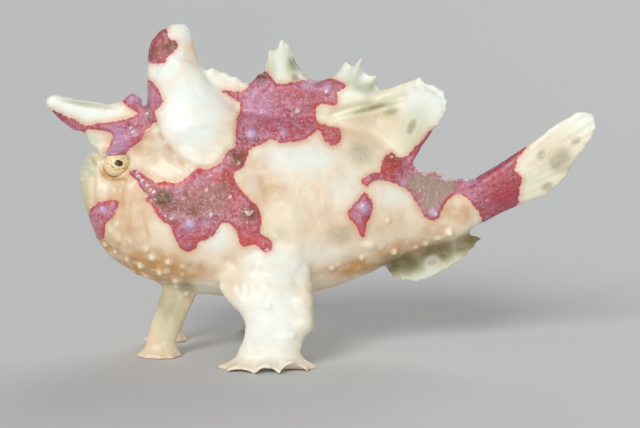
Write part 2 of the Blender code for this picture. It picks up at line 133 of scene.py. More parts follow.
# Shapes that the skin takes in before it is drawn over them, with pixels of the photograph's view.
spikes = [  # fin ray tips: pixel of the base, of the tip, depth, base radius, tip radius
    ((281.5, 52), (281.9, 38.8), 5.7, 1, 0.62), ((287, 56), (288.6, 46.2), 5.6, 0.8, 0.4),
    ((277, 57), (268.8, 50), 4.8, 0.9, 0.44), ((273, 71), (265, 65.4), 3.4, 0.9, 0.44),
    ((350, 73), (345.8, 62), 4.5, 0.9, 0.44), ((359, 72), (361.2, 58.4), 4.6, 0.9, 0.46),
    ((367, 80), (376.6, 76.6), 3.9, 0.9, 0.44), ((416.5, 88), (418.6, 79.6), -3.4, 1, 0.6),
]
lumps = [  # pixel, radius, and depth where it isn't 0
    (262, 79.5, 1.35), (255.5, 83.5, 0.95), (269, 82.5, 0.9), (328, 81.3, 0.85), (314, 84.8, 0.6),
    (428, 86.8, 0.8, -4.6), (435.5, 90, 0.85, -4.9), (442, 95.5, 0.8, -5.1), (444.6, 102.5, 0.75, -5.1),
    (444.6, 109.5, 0.75, -4.6), (442, 116.5, 0.7, -3.9), (437, 124, 0.65, -3.4), (406, 84.2, 0.6, -2),
    (397, 87.4, 0.55, -1.4), (54.2, 100.8, 1.55), (133, 98.5, 1.15, -0.9), (139, 99.5, 0.9, -0.6),
    (127, 101, 0.85, -0.7), (180.5, 32.5, 1.6), (244, 86, 1), (247, 91.5, 1.3), (246.5, 98, 1.6),
    (246, 105, 1.7), (251, 88, 1), (212.5, 70.2, 0.95), (235.5, 78.8, 0.85), (224.5, 74.8, 0.85),
    (205, 74, 0.9), (420, 176.2, 0.75), (430.5, 175.2, 0.85, 0.3), (435, 173.6, 0.75, -0.3),
    (439.5, 176.2, 0.7, 0.2), (463, 178.8, 0.5), (392, 277.4, 0.5), (403, 279.4, 0.5), (414, 280.6, 0.5),
    (425, 279, 0.5), (436, 274, 0.5), (447, 268, 0.5), (457, 262.6, 0.5), (466, 254.6, 0.5),
    (474, 246.4, 0.5), (480, 239, 0.5), (549, 128.6, 0.5, 0.2), (559, 123.2, 0.5, 0.2),
    (575.5, 113.6, 0.55), (581.5, 115.6, 0.5), (586.5, 114.4, 0.6), (591.5, 116.6, 0.55),
    (593.5, 121.4, 0.6), (592.5, 127, 0.5), (593.5, 132.4, 0.55), (590.5, 138.6, 0.5), (585, 145.2, 0.5),
    (578.8, 152.6, 0.5), (572.4, 162.6, 0.5), (567.4, 172.8, 0.5), (560, 182, 0.5), (551, 190.4, 0.5),
    (304, 300, 2.3, -14.6), (303, 322.5, 2.7, -15), (236, 306, 1, -12), (84.9, 165.6, 1.05),
    (85.2, 165.6, 1, -2), (85.2, 165, 1, 2), (89.5, 162, 1.15, -1.8), (89, 162, 1.15),
    (89.5, 161.4, 1.15, 1.8), (90.6, 161.6, 1.05, -3.6), (90.6, 160.6, 1.05, 3.6),
    (92.4, 160.6, 0.9, -5.2), (92.4, 159.2, 0.9, 5.2),
]
skinMake = {
    "merge": 0.002, "fatten": 0.22,  # mm; fattened before the voxel remesh, so that the cuts close
    "voxel": 0.39, "bodySmooth": (0.6, 26), "finSmooth": (0.5, 3), "tailSmooth": (0.5, 9),
    "spineShares": (0.55, 0.6),  # how much less like the body and more like a fin a spine is smoothed
}


def addSpike(base, tip, depth, wide, narrow):
    low, high = atDepth(*base, depth), atDepth(*tip, depth)
    along = high - low
    bpy.ops.mesh.primitive_cone_add(
        vertices=10, radius1=wide * mm, radius2=narrow * mm, depth=along.length,
        location=(low + high) / 2, rotation=along.to_track_quat("Z", "Y").to_euler(),
    )
    return bpy.context.object


def addLump(px, py, radius, depth=0.0):
    bpy.ops.mesh.primitive_ico_sphere_add(
        subdivisions=2, radius=radius * mm, location=atDepth(px, py, depth)
    )
    return bpy.context.object


def applied(piece, kind, **values):
    modifier = piece.modifiers.new(kind.lower(), kind)
    for name, value in values.items():
        setattr(modifier, name, value)
    pick(piece)
    bpy.ops.object.modifier_apply(modifier=modifier.name)


def joined(pieces, name):
    deselectAll()
    for piece in pieces:
        piece.select_set(True)
    bpy.context.view_layer.objects.active = pieces[0]
    bpy.ops.object.join()
    made = bpy.context.object
    made.name = made.data.name = name
    made.data.materials.clear()
    return made


def makeSkin():
    parts = []
    for name in fleshNodes:
        part = bpy.data.objects.new(name + "Copy", nodes[name].data.copy())
        bpy.context.scene.collection.objects.link(part)
        parts.append(part)
    made = joined(parts, "skin")
    bpy.ops.object.mode_set(mode="EDIT")
    bpy.ops.mesh.select_all(action="SELECT")
    bpy.ops.mesh.remove_doubles(threshold=skinMake["merge"] * mm)
    bpy.ops.object.mode_set(mode="OBJECT")
    applied(made, "DISPLACE", strength=skinMake["fatten"] * mm, mid_level=0.0)
    extras = [addSpike(*row) for row in spikes] + [addLump(*row) for row in lumps]
    made = joined([made] + extras, "skin")
    applied(made, "REMESH", mode="VOXEL", voxel_size=skinMake["voxel"] * mm)
    applied(made, "DISPLACE", strength=-skinMake["fatten"] * mm, mid_level=0.0)
    return made


def nearestNode(points, names):
    # for each point, the number of the node that it is nearest to
    corners, faces, owner = [], [], []
    for number, name in enumerate(names):
        mesh = nodes[name].data
        start = len(corners)
        corners += [v.co[:] for v in mesh.vertices]
        for face in mesh.polygons:
            faces.append([start + i for i in face.vertices])
            owner.append(number)
    tree = BVHTree.FromPolygons(corners, faces)
    return np.array([owner[tree.find_nearest(p)[2]] for p in points])


def readPoints(piece):
    count = len(piece.data.vertices)
    points, normals = np.empty(count * 3, np.float32), np.empty(count * 3, np.float32)
    piece.data.vertices.foreach_get("co", points)
    piece.data.vertex_normals.foreach_get("vector", normals)
    return points.reshape(-1, 3).astype(float), normals.reshape(-1, 3).astype(float)


def writePoints(piece, points):
    piece.data.vertices.foreach_set("co", points.astype(np.float32).ravel())
    piece.data.update()


def edgesOf(piece):
    ends = np.empty(len(piece.data.edges) * 2, np.int32)
    piece.data.edges.foreach_get("vertices", ends)
    return ends.reshape(-1, 2)


def spread(values, ends, rounds):
    # each value averaged with its neighbours', so that borders turn soft
    count = len(values)
    links = np.bincount(ends.ravel(), minlength=count).clip(1)
    for _ in range(rounds):
        total = np.bincount(ends[:, 0], values[ends[:, 1]], count)
        total += np.bincount(ends[:, 1], values[ends[:, 0]], count)
        values = 0.5 * values + 0.5 * total / links
    return values


def smoothWhere(piece, weights, factor, rounds):
    group = piece.vertex_groups.new(name="soft")
    for i, weight in enumerate(weights):
        if weight > 0.01:
            group.add([i], float(weight), "REPLACE")
    applied(piece, "SMOOTH", factor=factor, iterations=rounds, vertex_group="soft")
    piece.vertex_groups.clear()


def shareOf(names, rounds):
    # 1 on the skin of these nodes, and softer over their borders
    here = np.isin(owner, [fleshNodes.index(name) for name in names]).astype(float)
    return spread(here, ends, rounds)


skin = makeSkin()
points, normals = readPoints(skin)
owner = nearestNode(points, fleshNodes)
ends = edgesOf(skin)
finShare = shareOf(finNodes, 12)
footShare = shareOf(footNodes, 10)
spineShare = shareOf(spineNodes, 10)
thin = np.clip(finShare + footShare, 0, 1)
lessBody, moreFin = skinMake["spineShares"]
smoothWhere(skin, np.clip(1.0 - thin - lessBody * spineShare, 0, 1), *skinMake["bodySmooth"])
smoothWhere(skin, np.clip(thin + moreFin * spineShare, 0, 1), *skinMake["finSmooth"])
smoothWhere(skin, shareOf(["caudal_fin"], 4), *skinMake["tailSmooth"])
print("stage: skin drawn over the flesh,", len(skin.data.vertices), "points")

# Lines and places that the skin is modelled along. Pixels are those of the photograph's view of the
# fish's left side, and the right side takes them mirrored.
mouth = {
    "line": [(96.2, 155), (96, 159), (95.4, 163)], "depth": 0.95, "width": 0.5,
    "lip": 0.26, "lipAway": 1.2, "lipWidth": 0.7,
}
creases = [  # pixels of the line, depth and width in mm
    ([(121.5, 180), (120, 192), (120.4, 204), (122, 222), (125, 241)], 0.42, 0.75),
    ([(100.6, 160), (101.8, 168), (105.6, 175), (112, 179), (120.5, 180), (127.5, 177)], 0.7, 0.7),
    ([(95.4, 163), (93.8, 170), (92.8, 180), (92, 190), (92.2, 200)], 0.34, 0.8),
    ([(107, 180), (114, 184.5), (122, 184), (130, 180)], 0.2, 0.6),
    ([(157, 130), (163, 140), (170, 150), (178, 160), (186, 165)], 0.5, 1),
    ([(104, 243), (112, 250), (124, 258), (138, 263)], 0.25, 0.7),
    ([(135, 205), (139, 222), (147, 238), (153, 256)], 0.22, 0.9),
    ([(108, 186), (107, 196), (104, 202)], 0.2, 0.6),
    ([(228, 262), (236, 268), (243, 280), (244, 292)], 0.35, 0.9),
    ([(303, 268), (296, 278), (300, 292), (310, 300)], 0.3, 0.9),
    ([(334, 115), (344, 111.5), (357, 108), (372, 105.5), (388, 102), (402, 96.5)], 0.85, 0.75),
    ([(252, 170), (262, 180), (270, 194), (272, 208)], 0.2, 1.6),
    ([(330, 215), (350, 250), (352, 262)], 0.16, 1.4), ([(405, 225), (420, 238), (440, 243)], 0.2, 1.2),
    ([(470, 178), (492, 184), (512, 186)], 0.12, 0.5), ([(205, 335), (214, 346), (226, 352)], 0.1, 0.6),
]
ridges = [  # pixels of the line, height and width in mm
    ([(97, 176), (99, 190), (99, 199)], 0.3, 0.9),
    ([(112, 184), (111, 200), (112, 222), (115, 238)], 0.28, 1.2),
    ([(130, 184), (130, 204), (134, 226), (140, 243)], 0.28, 1.3),
    ([(146, 132), (158, 150), (172, 163), (180, 170)], 0.22, 1.2),
    ([(285, 208), (293, 228), (296, 248)], 0.3, 2),
    ([(336, 120), (352, 115), (372, 111), (396, 108)], 0.25, 0.9),
]
warts = [  # pixel, radius and height in mm
    (251.5, 133.2, 1.45, 0.55), (283.8, 132.8, 1, 0.4), (297.3, 111.5, 0.8, 0.3), (261.5, 112, 0.8, 0.25),
    (326, 92, 1.1, 0.45), (102.5, 209.5, 1.15, 0.5), (98, 220, 0.9, 0.35), (190, 224.5, 1.5, 0.55),
    (175, 216, 0.9, 0.3), (211.5, 214, 0.8, 0.3), (247.4, 214, 1.55, 0.5), (234.5, 160, 1.2, 0.35),
    (363.7, 208.8, 1.3, 0.5), (434.8, 213.2, 1.1, 0.45), (390.9, 159, 0.75, 0.35), (369, 179.5, 0.8, 0.35),
    (404.5, 184, 0.6, 0.3), (332.3, 135.7, 1.25, 0.35), (197, 174.5, 1, 0.3), (187.5, 246, 0.9, 0.3),
    (247, 238, 0.7, 0.3), (264, 246.5, 0.8, 0.35), (253.5, 231, 0.6, 0.25), (370.4, 246, 1.3, 0.35),
    (164, 199, 1.3, 0.3), (481, 189.5, 0.8, 0.25), (489, 202, 0.8, 0.3), (463.5, 182, 0.9, 0.25),
    (112, 152.5, 0.7, 0.2), (126, 138, 0.9, 0.3), (117, 146, 0.9, 0.25), (394, 251.5, 1, 0.75),
    (449.5, 232.5, 1.25, 0.95), (426, 244, 0.8, 0.5), (416, 247.5, 0.6, 0.3), (437, 238.5, 0.6, 0.3),
    (362, 258, 0.8, 0.4), (332, 268, 0.8, 0.4), (116, 251, 0.9, 0.7), (147, 275, 0.9, 0.6),
    (110, 256, 0.8, 0.6), (168, 262, 0.8, 0.5), (106, 244, 0.8, 0.65), (128, 259, 0.9, 0.75),
    (141, 266, 0.9, 0.75), (121, 264, 0.8, 0.7), (152, 258, 0.9, 0.6), (160, 272, 1, 0.7),
    (176, 281, 0.9, 0.65), (132, 272, 0.8, 0.65),
]
dots = [  # small white points: pixel and radius in mm
    (138.5, 176.5, 0.26), (142.5, 180.6, 0.28), (147.3, 185.6, 0.3), (150.6, 190.4, 0.3),
    (146.5, 195.6, 0.3), (154, 191.5, 0.24), (151, 200.5, 0.22), (159.5, 210.5, 0.24), (165.5, 215, 0.24),
    (137.8, 171.6, 0.2), (248.4, 214, 0.36), (246.5, 211.4, 0.28), (252, 212, 0.22), (247, 221.5, 0.24),
    (230.4, 196.6, 0.3), (206.5, 190.5, 0.22), (211, 214.5, 0.4), (172, 218.5, 0.3), (297.5, 111, 0.4),
    (326.5, 91.5, 0.4), (362, 205, 0.3), (390.5, 158.5, 0.28), (434.8, 214, 0.3), (267.5, 250, 0.26),
    (238.5, 163.5, 0.24), (141, 102, 0.24), (147.5, 113.5, 0.24), (148.5, 99, 0.24), (133.5, 132, 0.22),
    (131, 127.5, 0.22),
]
eye = {  # mm, and for the fades where each starts and ends
    "place": (-37.6, 5.95, 38.2), "radius": 2.45, "axis": (0.22, 0.96, 0.16), "near": (2.5, 6),
    "lidAway": 2.5, "lidWidth": 0.5, "lidHeight": 0.3, "upper": (-0.3, 0.9), "ahead": (0.5, -0.5),
    "hood": (1.15, 1.6), "hoodOver": 0.28, "hoodEnd": 4.2, "rear": (1.5, 2.2), "rearRise": (-1.9, -0.6),
    "moatAway": 3.2, "moatWidth": 0.42, "moatDepth": 0.3,
}
flap = {  # the third spine's web, which lies over the flank with a rounded rim
    "height": 0.55, "rim": (-0.25, 0.9), "outline": [  # pixels, x and y in turn
        150, 96, 154, 118, 157, 130, 167, 145, 178, 158, 190, 165, 198, 167.5, 206, 168.5, 213.5, 167, 222,
        160, 229, 150.5, 235.5, 146, 238, 130, 240, 108, 233, 98, 222, 90, 208, 80, 190, 60, 165, 60,
    ],
}
rays = {  # mm of the fish's own drawing, front to rear and top to bottom
    "height": 0.13, "tailShare": 0.55, "width": 0.4,
    "dorsalTop": [(-14, 47.3), (-2, 46.3), (9.4, 43.3), (17, 38.5)],
    "dorsal": [  # tip x, z and y, height and y of the bend, x of the root
        (-11.6, 54, 0.6, 50, -0.5, -12.2), (-10.5, 56, 3.6, 50.7, -1, -9.9),
        (-9.7, 58.91, 4.9, 51.7, -1, -8.3), (-7.3, 60.66, 6, 51.9, -1, -6.9),
        (-5.6, 58.27, 5.9, 51.9, -1, -5.4), (-3, 53.87, 5.2, 51.7, -1, -3.3),
        (2.4, 53.21, 4.2, 51.9, -1, -0.2), (4.9, 56.56, 4.6, 52.3, -1, 1.7),
        (7.8, 57.26, 4.6, 51.9, -1, 3.5), (10.7, 53.85, 3.9, 50.5, -1, 5.3),
        (15.3, 52.7, -1.2, 47.4, -0.5, 8.2), (18.5, 54.1, -3.4, 46.4, -0.8, 9.2),
        (21.2, 52.6, -4.7, 45, -1.3, 10.8), (22.8, 51.5, -5.1, 44, -1.5, 11.6),
        (23.4, 49.6, -5, 43, -1.5, 12.5), (23, 47.6, -4.2, 42, -1.3, 13.4),
        (21.9, 45.7, -3.4, 41, -1, 14.4), (20.2, 43.5, -2.3, 39.8, -0.8, 15.6),
    ],
    "tailRoot": (28.5, 34.3, 25.0),
    "tail": [
        (44.6, 45), (48.5, 47.4), (51.2, 47.1), (52, 45.5), (51.8, 43.6), (50.7, 41.5), (48.9, 39.2),
        (47.3, 36.6), (45.7, 34.2), (43, 31.7),
    ],
    "analRoot": (12.5, 26.6), "analBottom": [(9.4, 17.5), (14.2, 19.6), (19, 21.4), (26.4, 23.2)],
    "anal": [
        (13.2, 17), (15.6, 15.7), (18.6, 15.2), (21.4, 16.1), (24.1, 17.6), (26.6, 19.2), (28.7, 21.4),
        (30.2, 23.6),
    ],
}
pimples = {
    "seed": 7, "tries": 2000, "gap": 1.9, "radius": (0.55, 1.2), "height": (0.08, 0.42), "anywhere": 0.01,
    "places": [  # pixel, spread across and down, share of tries that stay
        (140, 266, 50, 20, 1), (120, 240, 22, 22, 0.5), (345, 262, 50, 14, 0.3), (300, 235, 150, 50, 0.04),
        (430, 243, 40, 10, 0.14), (275, 320, 45, 60, 0.1), (88, 180, 12, 40, 0.3),
        (175, 300, 30, 40, 0.15),
    ],
}


def smoothStep(low, high, values):
    share = np.clip((values - low) / (high - low), 0, 1)
    return share * share * (3 - 2 * share)


def mirroredPoint(point):
    return Vector((point[0], -point[1], point[2]))


def lineDistance(where, line):
    # distance in metres from each point to a line through several places
    best = np.full(len(where), 1e9)
    for low, high in zip(line, line[1:]):
        low, along = np.array(low), np.array(high) - np.array(low)
        share = np.clip((where - low) @ along / max(along @ along, 1e-18), 0, 1)
        best = np.minimum(best, ((where - low - share[:, None] * along) ** 2).sum(axis=1))
    return np.sqrt(best)


def onSkin(tree, px, py):
    return tree.ray_cast(cameraPlace(), pictureRay(px, py))[0]


def lineOnSkin(tree, pixels, steps=4):
    # the drawn line laid on the skin's left side
    line = []
    for (ax, ay), (bx, by) in zip(pixels, pixels[1:]):
        for k in range(steps):
            found = onSkin(tree, ax + (bx - ax) * k / steps, ay + (by - ay) * k / steps)
            if found:
                line.append(found)
    last = onSkin(tree, *pixels[-1])
    return line + [last] if last else line


def bothSides(tree, line):
    return [line, [tree.find_nearest(mirroredPoint(p))[0] for p in line]]


def dome(away, radius):
    return np.clip(1 - (away / radius) ** 2, 0, 1) ** 2


def sculptFace(where, tree):
    # mouth, creases and ridges, as metres along the normals
    left = lineOnSkin(tree, mouth["line"])
    right = [tree.find_nearest(mirroredPoint(p))[0] for p in left]
    bridge = [tree.find_nearest(left[0].lerp(right[0], k / 8))[0] for k in range(1, 8)]
    away = lineDistance(where, left[::-1] + bridge + right) / mm
    lift = mouth["lip"] * np.exp(-(((away - mouth["lipAway"]) / mouth["lipWidth"]) ** 2))
    lift -= mouth["depth"] * np.exp(-((away / mouth["width"]) ** 2))
    for pixels, height, width in [(line, -depth, width) for line, depth, width in creases] + ridges:
        for line in bothSides(tree, lineOnSkin(tree, pixels)):
            lift += height * np.exp(-((lineDistance(where, line) / mm / width) ** 2))
    return lift * mm


def eyeSides():
    x, y, z = eye["place"]
    ax, ay, az = eye["axis"]
    for side in (-1, 1):
        yield drawn((x, side * y, z)), Vector((ax, side * ay, az)).normalized()


def sculptLids(where):
    # moves that build the lids and the moat round each eye, as vectors
    moves = np.zeros_like(where)
    radius, reach = eye["radius"], eye["hoodEnd"]
    for centre, axis in eyeSides():
        offset = (where - np.array(centre)) / mm
        axis = np.array(axis)
        along = offset @ axis
        outward = offset - along[:, None] * axis
        away = np.sqrt((outward**2).sum(axis=1))
        upper = smoothStep(*eye["upper"], outward[:, 2] / away.clip(0.01))
        ahead = smoothStep(*eye["ahead"], outward[:, 0] / away.clip(0.01))
        lid = np.exp(-(((away - eye["lidAway"]) / eye["lidWidth"]) ** 2))
        moat = np.exp(-(((away - eye["moatAway"]) / eye["moatWidth"]) ** 2))
        height = eye["lidHeight"] * lid - eye["moatDepth"] * (1 - upper) * ahead * moat
        # the upper lid hoods the ball, and the skin behind meets it
        ball = np.sqrt(np.clip(radius**2 - away**2, 0, None)) + eye["hoodOver"]
        over = smoothStep(*eye["hood"], outward[:, 2]) * smoothStep(reach, radius * 0.9, away)
        rear = smoothStep(*eye["rear"], outward[:, 0]) * smoothStep(reach, radius, away)
        over = np.maximum(over, rear * smoothStep(*eye["rearRise"], outward[:, 2]))
        height = np.maximum(height, np.clip(ball - along, 0, None) * over)
        near = (along > -eye["near"][0]) & (away < eye["near"][1])
        moves += np.where(near, height * mm, 0)[:, None] * axis
    return moves


def sculptFlap(px, py):
    inside = insideOutline(px, py, flap["outline"])
    return flap["height"] * smoothStep(*flap["rim"], inside) * mm


def rayLines():
    # centre lines of the fin rays, as points in metres, for each fin
    lines = {name: [] for name in ("dorsal_fin", "caudal_fin", "anal_fin")}
    for x, z, y, bendZ, bendY, rootX in rays["dorsal"]:
        rootZ = np.interp(rootX, *zip(*rays["dorsalTop"]))
        line = [(rootX, 0, rootZ), ((rootX + x) / 2, bendY, bendZ), (x, y, z)]
        lines["dorsal_fin"].append([drawn(p) for p in line])
    rootX, top, bottom = rays["tailRoot"]
    for rootZ, (x, z) in zip(np.linspace(top, bottom, len(rays["tail"])), rays["tail"]):
        line = [(rootX - 4, 0, rootZ), (rootX, 0, rootZ), (x, 0, z)]
        lines["caudal_fin"].append([drawn(p) for p in line])
    for rootX, (x, z) in zip(np.linspace(*rays["analRoot"], len(rays["anal"])), rays["anal"]):
        rootZ = np.interp(rootX, *zip(*rays["analBottom"]))
        lines["anal_fin"].append([drawn((rootX, 0, rootZ)), drawn((x, 0, z))])
    return lines


def rayHeight(where, finSide):
    # 1 on the middle of a ray and 0 between rays
    height = np.zeros(len(where))
    for fin, lines in rayLines().items():
        here = np.where(finSide[fin] > 0.05)[0]
        flat = where[here] * np.array((1, fin == "dorsal_fin", 1))
        away = np.min([lineDistance(flat, line) for line in lines], axis=0) / mm
        height[here] = np.exp(-((away / rays["width"]) ** 2)) * finSide[fin][here]
    return height


def insideOutline(px, py, outline, smooth=3):
    # mm inside a closed outline of pixels, under 0 outside
    rows = np.array(outline, float).reshape(-1, 2)
    a, b, c, d = (np.roll(rows, k, axis=0) for k in (1, 0, -1, -2))
    shares = [k / smooth for k in range(smooth)]
    curve = np.stack([
        b + 0.5 * t * (c - a + t * (2 * a - 5 * b + 4 * c - d + t * (3 * (b - c) + d - a))) for t in shares
    ], axis=1).reshape(-1, 2)
    best, inside = np.full(len(px), 1e9), np.zeros(len(px), bool)
    for (ax, ay), (bx, by) in zip(curve, np.roll(curve, -1, axis=0)):
        dx, dy = bx - ax, by - ay
        share = np.clip(((px - ax) * dx + (py - ay) * dy) / max(dx * dx + dy * dy, 1e-9), 0, 1)
        best = np.minimum(best, (px - ax - share * dx) ** 2 + (py - ay - share * dy) ** 2)
        if ay != by:
            inside ^= ((ay > py) != (by > py)) & (px < dx * (py - ay) / dy + ax)
    return np.where(inside, 1, -1) * np.sqrt(best) * view["pixel"]


drift = {  # how the marks stray where the photograph doesn't show them: waves as pixels, pace and start
    "farDepth": (0.5, 6.0), "across": [(5, 1 / 19, 0.8), (3, 1 / 27, 2)],
    "down": [(4.5, 1 / 23, 1.9), (2.5, 1 / 31, 0)],
    "backDepth": (-7.0, 0.5), "backStart": (200, 226), "back": [(2.6, 1.05, 0.6), (1.4, 2.3, 0)],
}


def waves(rows, *values):
    return sum(size * np.sin(pace * v + start) for (size, pace, start), v in zip(rows, values))


def sidePicture(where, finShare):
    # the picture's pixels for every point: the right side mirrored, and drifted so that it isn't a copy
    y = where[:, 1] / mm
    px, py = inPicture(where, where[:, 1] * finShare - np.abs(where[:, 1]) * (1 - finShare))
    far = smoothStep(*drift["farDepth"], y) * (1 - finShare)
    # over the back the borders wander too
    back = smoothStep(*drift["backDepth"], y) * smoothStep(*drift["backStart"], px) * (1 - finShare)
    driftX = far * waves(drift["across"], py, px) + back * waves(drift["back"], y, y)
    return px + driftX, py + far * waves(drift["down"], px, py)


finSide = {name: np.clip(shareOf([name], 3) * 1.6, 0, 1) for name in finNodes}
points, normals = readPoints(skin)
px, py = sidePicture(points, finShare)
lift = sculptFlap(px, py) * (1 - finShare)
writePoints(skin, points + normals * lift[:, None])
points, normals = readPoints(skin)
tree = BVHTree.FromObject(skin, bpy.context.evaluated_depsgraph_get())
lift = sculptFace(points, tree)
writePoints(skin, points + normals * lift[:, None] + sculptLids(points))
points, normals = readPoints(skin)
tree = BVHTree.FromObject(skin, bpy.context.evaluated_depsgraph_get())
print("stage: mouth, lids and folds")

patches = {  # outlines in pixels, x and y in turn
    "forehead": [
        50.5, 111, 57, 111.5, 63.9, 115.7, 75.4, 119.5, 85, 126, 97.4, 123.3, 110.8, 122.4, 124.2, 119.5,
        135.7, 115.7, 136.6, 112.8, 131.8, 109, 126.1, 106, 123.2, 101, 127, 94, 135.7, 90, 142, 91, 142,
        84, 139, 78, 146, 79, 151, 81.2, 156.7, 87, 160.5, 94.6, 163, 102.3, 158.6, 108, 154.8, 111.8,
        155.8, 116.6, 157.7, 121.4, 152.9, 123.5, 147.1, 129.5, 144.3, 133, 140.4, 140.5, 130, 149, 123.2,
        154.9, 110.8, 157, 106, 153, 108.9, 147.2, 111.8, 139.6, 112.7, 134.8, 107, 131.5, 97.4, 130, 87.8,
        130, 80.2, 135, 72.5, 133, 67.7, 129, 60, 125, 50, 118,
    ],
    "columnTip": [
        150, 63, 146, 61, 140, 58, 145, 50, 148, 42, 154, 35, 161, 27, 166.5, 29, 168.2, 35.3, 171, 40,
        175.8, 41, 177.8, 45.8, 173.9, 51.6, 167.2, 56.4, 165.3, 62, 157.7, 63.8,
    ],
    "saddle": [
        220, 91, 226, 90.5, 236, 92, 246, 88, 251, 80, 258, 72, 267, 72, 273, 80, 279, 84, 296, 82, 312,
        78, 323, 75, 332, 79, 339, 81, 346, 85, 342, 90, 337, 92.6, 337.6, 98, 338, 102, 335, 105.4, 328,
        104.5, 322, 103.8, 317, 107, 315.5, 113, 316.5, 121, 319.5, 124.5, 324, 124.8, 328, 127, 335, 127,
        341, 132, 341.5, 138, 337, 144, 330, 145, 324.5, 140.5, 322, 134, 319, 129.5, 312.5, 134, 303,
        140.4, 290, 142, 281, 142.8, 271, 139.7, 263, 143.6, 255, 146.5, 249.7, 149, 248, 155, 245.5,
        162.8, 240.7, 169, 234.3, 173.5, 234.4, 179.3, 239.5, 188.2, 249.7, 199.7, 258.7, 208.6, 261.5,
        220, 260, 232.9, 266, 237, 271, 241, 271.6, 248.2, 266.3, 252.6, 260, 248.2, 253.6, 244.3, 244.6,
        246.9, 239, 241, 237, 232.9, 230.6, 223.9, 221.7, 222.7, 216.6, 231.6, 207.7, 239.2, 199, 241.8,
        196.6, 248.2, 187.2, 251.4, 179.6, 246.9, 174.5, 236.7, 169.4, 225.2, 163, 221.4, 156.6, 213.7,
        151.5, 204.8, 145.2, 199.7, 146.4, 194.6, 141.3, 188.2, 135, 179.3, 128.6, 171.6, 138.8, 170.4,
        146.4, 176.7, 156.6, 183, 164.3, 181.2, 177, 183, 187.2, 176.7, 197.4, 167.8, 205, 169.7, 214,
        166.5, 221.7, 161.4, 228, 151.2, 235.7, 145, 236, 129, 239, 107, 236, 101, 228, 96,
    ],
    "mouthCorner": [
        96.7, 203.5, 98, 200.5, 104.3, 202, 112, 199.8, 117, 200.3, 119, 203.5, 117, 208.6, 112, 217.6,
        105.6, 224, 104.3, 236.7, 99, 240, 91, 233, 88.5, 222, 90, 211,
    ],
    "drop": [
        365, 192.7, 368.6, 196.3, 371.7, 200.7, 373, 206, 371.3, 214.1, 368.1, 220.4, 365.9, 225.7, 365,
        234.6, 362.3, 237.3, 359.6, 234.6, 357.4, 227.5, 353.4, 222.1, 348, 216.8, 347.6, 212.3, 352.5,
        206, 357.9, 199.8, 362.3, 194.5,
    ],
    "rear": [
        362, 180.2, 366.8, 175.7, 373.9, 173, 379.3, 172.6, 381.5, 166.8, 383.8, 160.5, 386.4, 155.2,
        390.9, 152.5, 394.5, 154.7, 397.1, 157, 404.3, 157, 410.5, 152.5, 416.8, 145.4, 423, 139, 430,
        130.5, 438, 131, 433, 142, 425, 152, 421, 163, 428, 166, 440, 166, 460, 172, 480, 170, 500, 156,
        519, 144, 526, 147, 523.7, 151, 520.6, 156.1, 517.6, 158.2, 516.5, 161.2, 516, 167.3, 514, 170.4,
        518, 172.4, 521.6, 177.6, 522.1, 182.7, 519, 188.8, 520.1, 193.9, 518, 198, 519.1, 202, 516, 206.1,
        525, 207.5, 526, 214, 507, 225, 490, 236, 483, 234, 483.9, 227.6, 481.8, 219.4, 478.8, 212.2,
        473.7, 206.1, 465.5, 198, 460.5, 195.4, 453.4, 194.5, 448.9, 198, 444.5, 204.3, 441.8, 211.4,
        439.1, 217.7, 434.6, 219.9, 430.2, 219.5, 424.8, 215.9, 420.4, 207.9, 414.1, 198.9, 407.9, 190,
        398.9, 185.5, 393.6, 182.9, 384.6, 181, 375.7, 180.2, 369.5, 183.8, 366.8, 187, 363, 185,
    ],
}
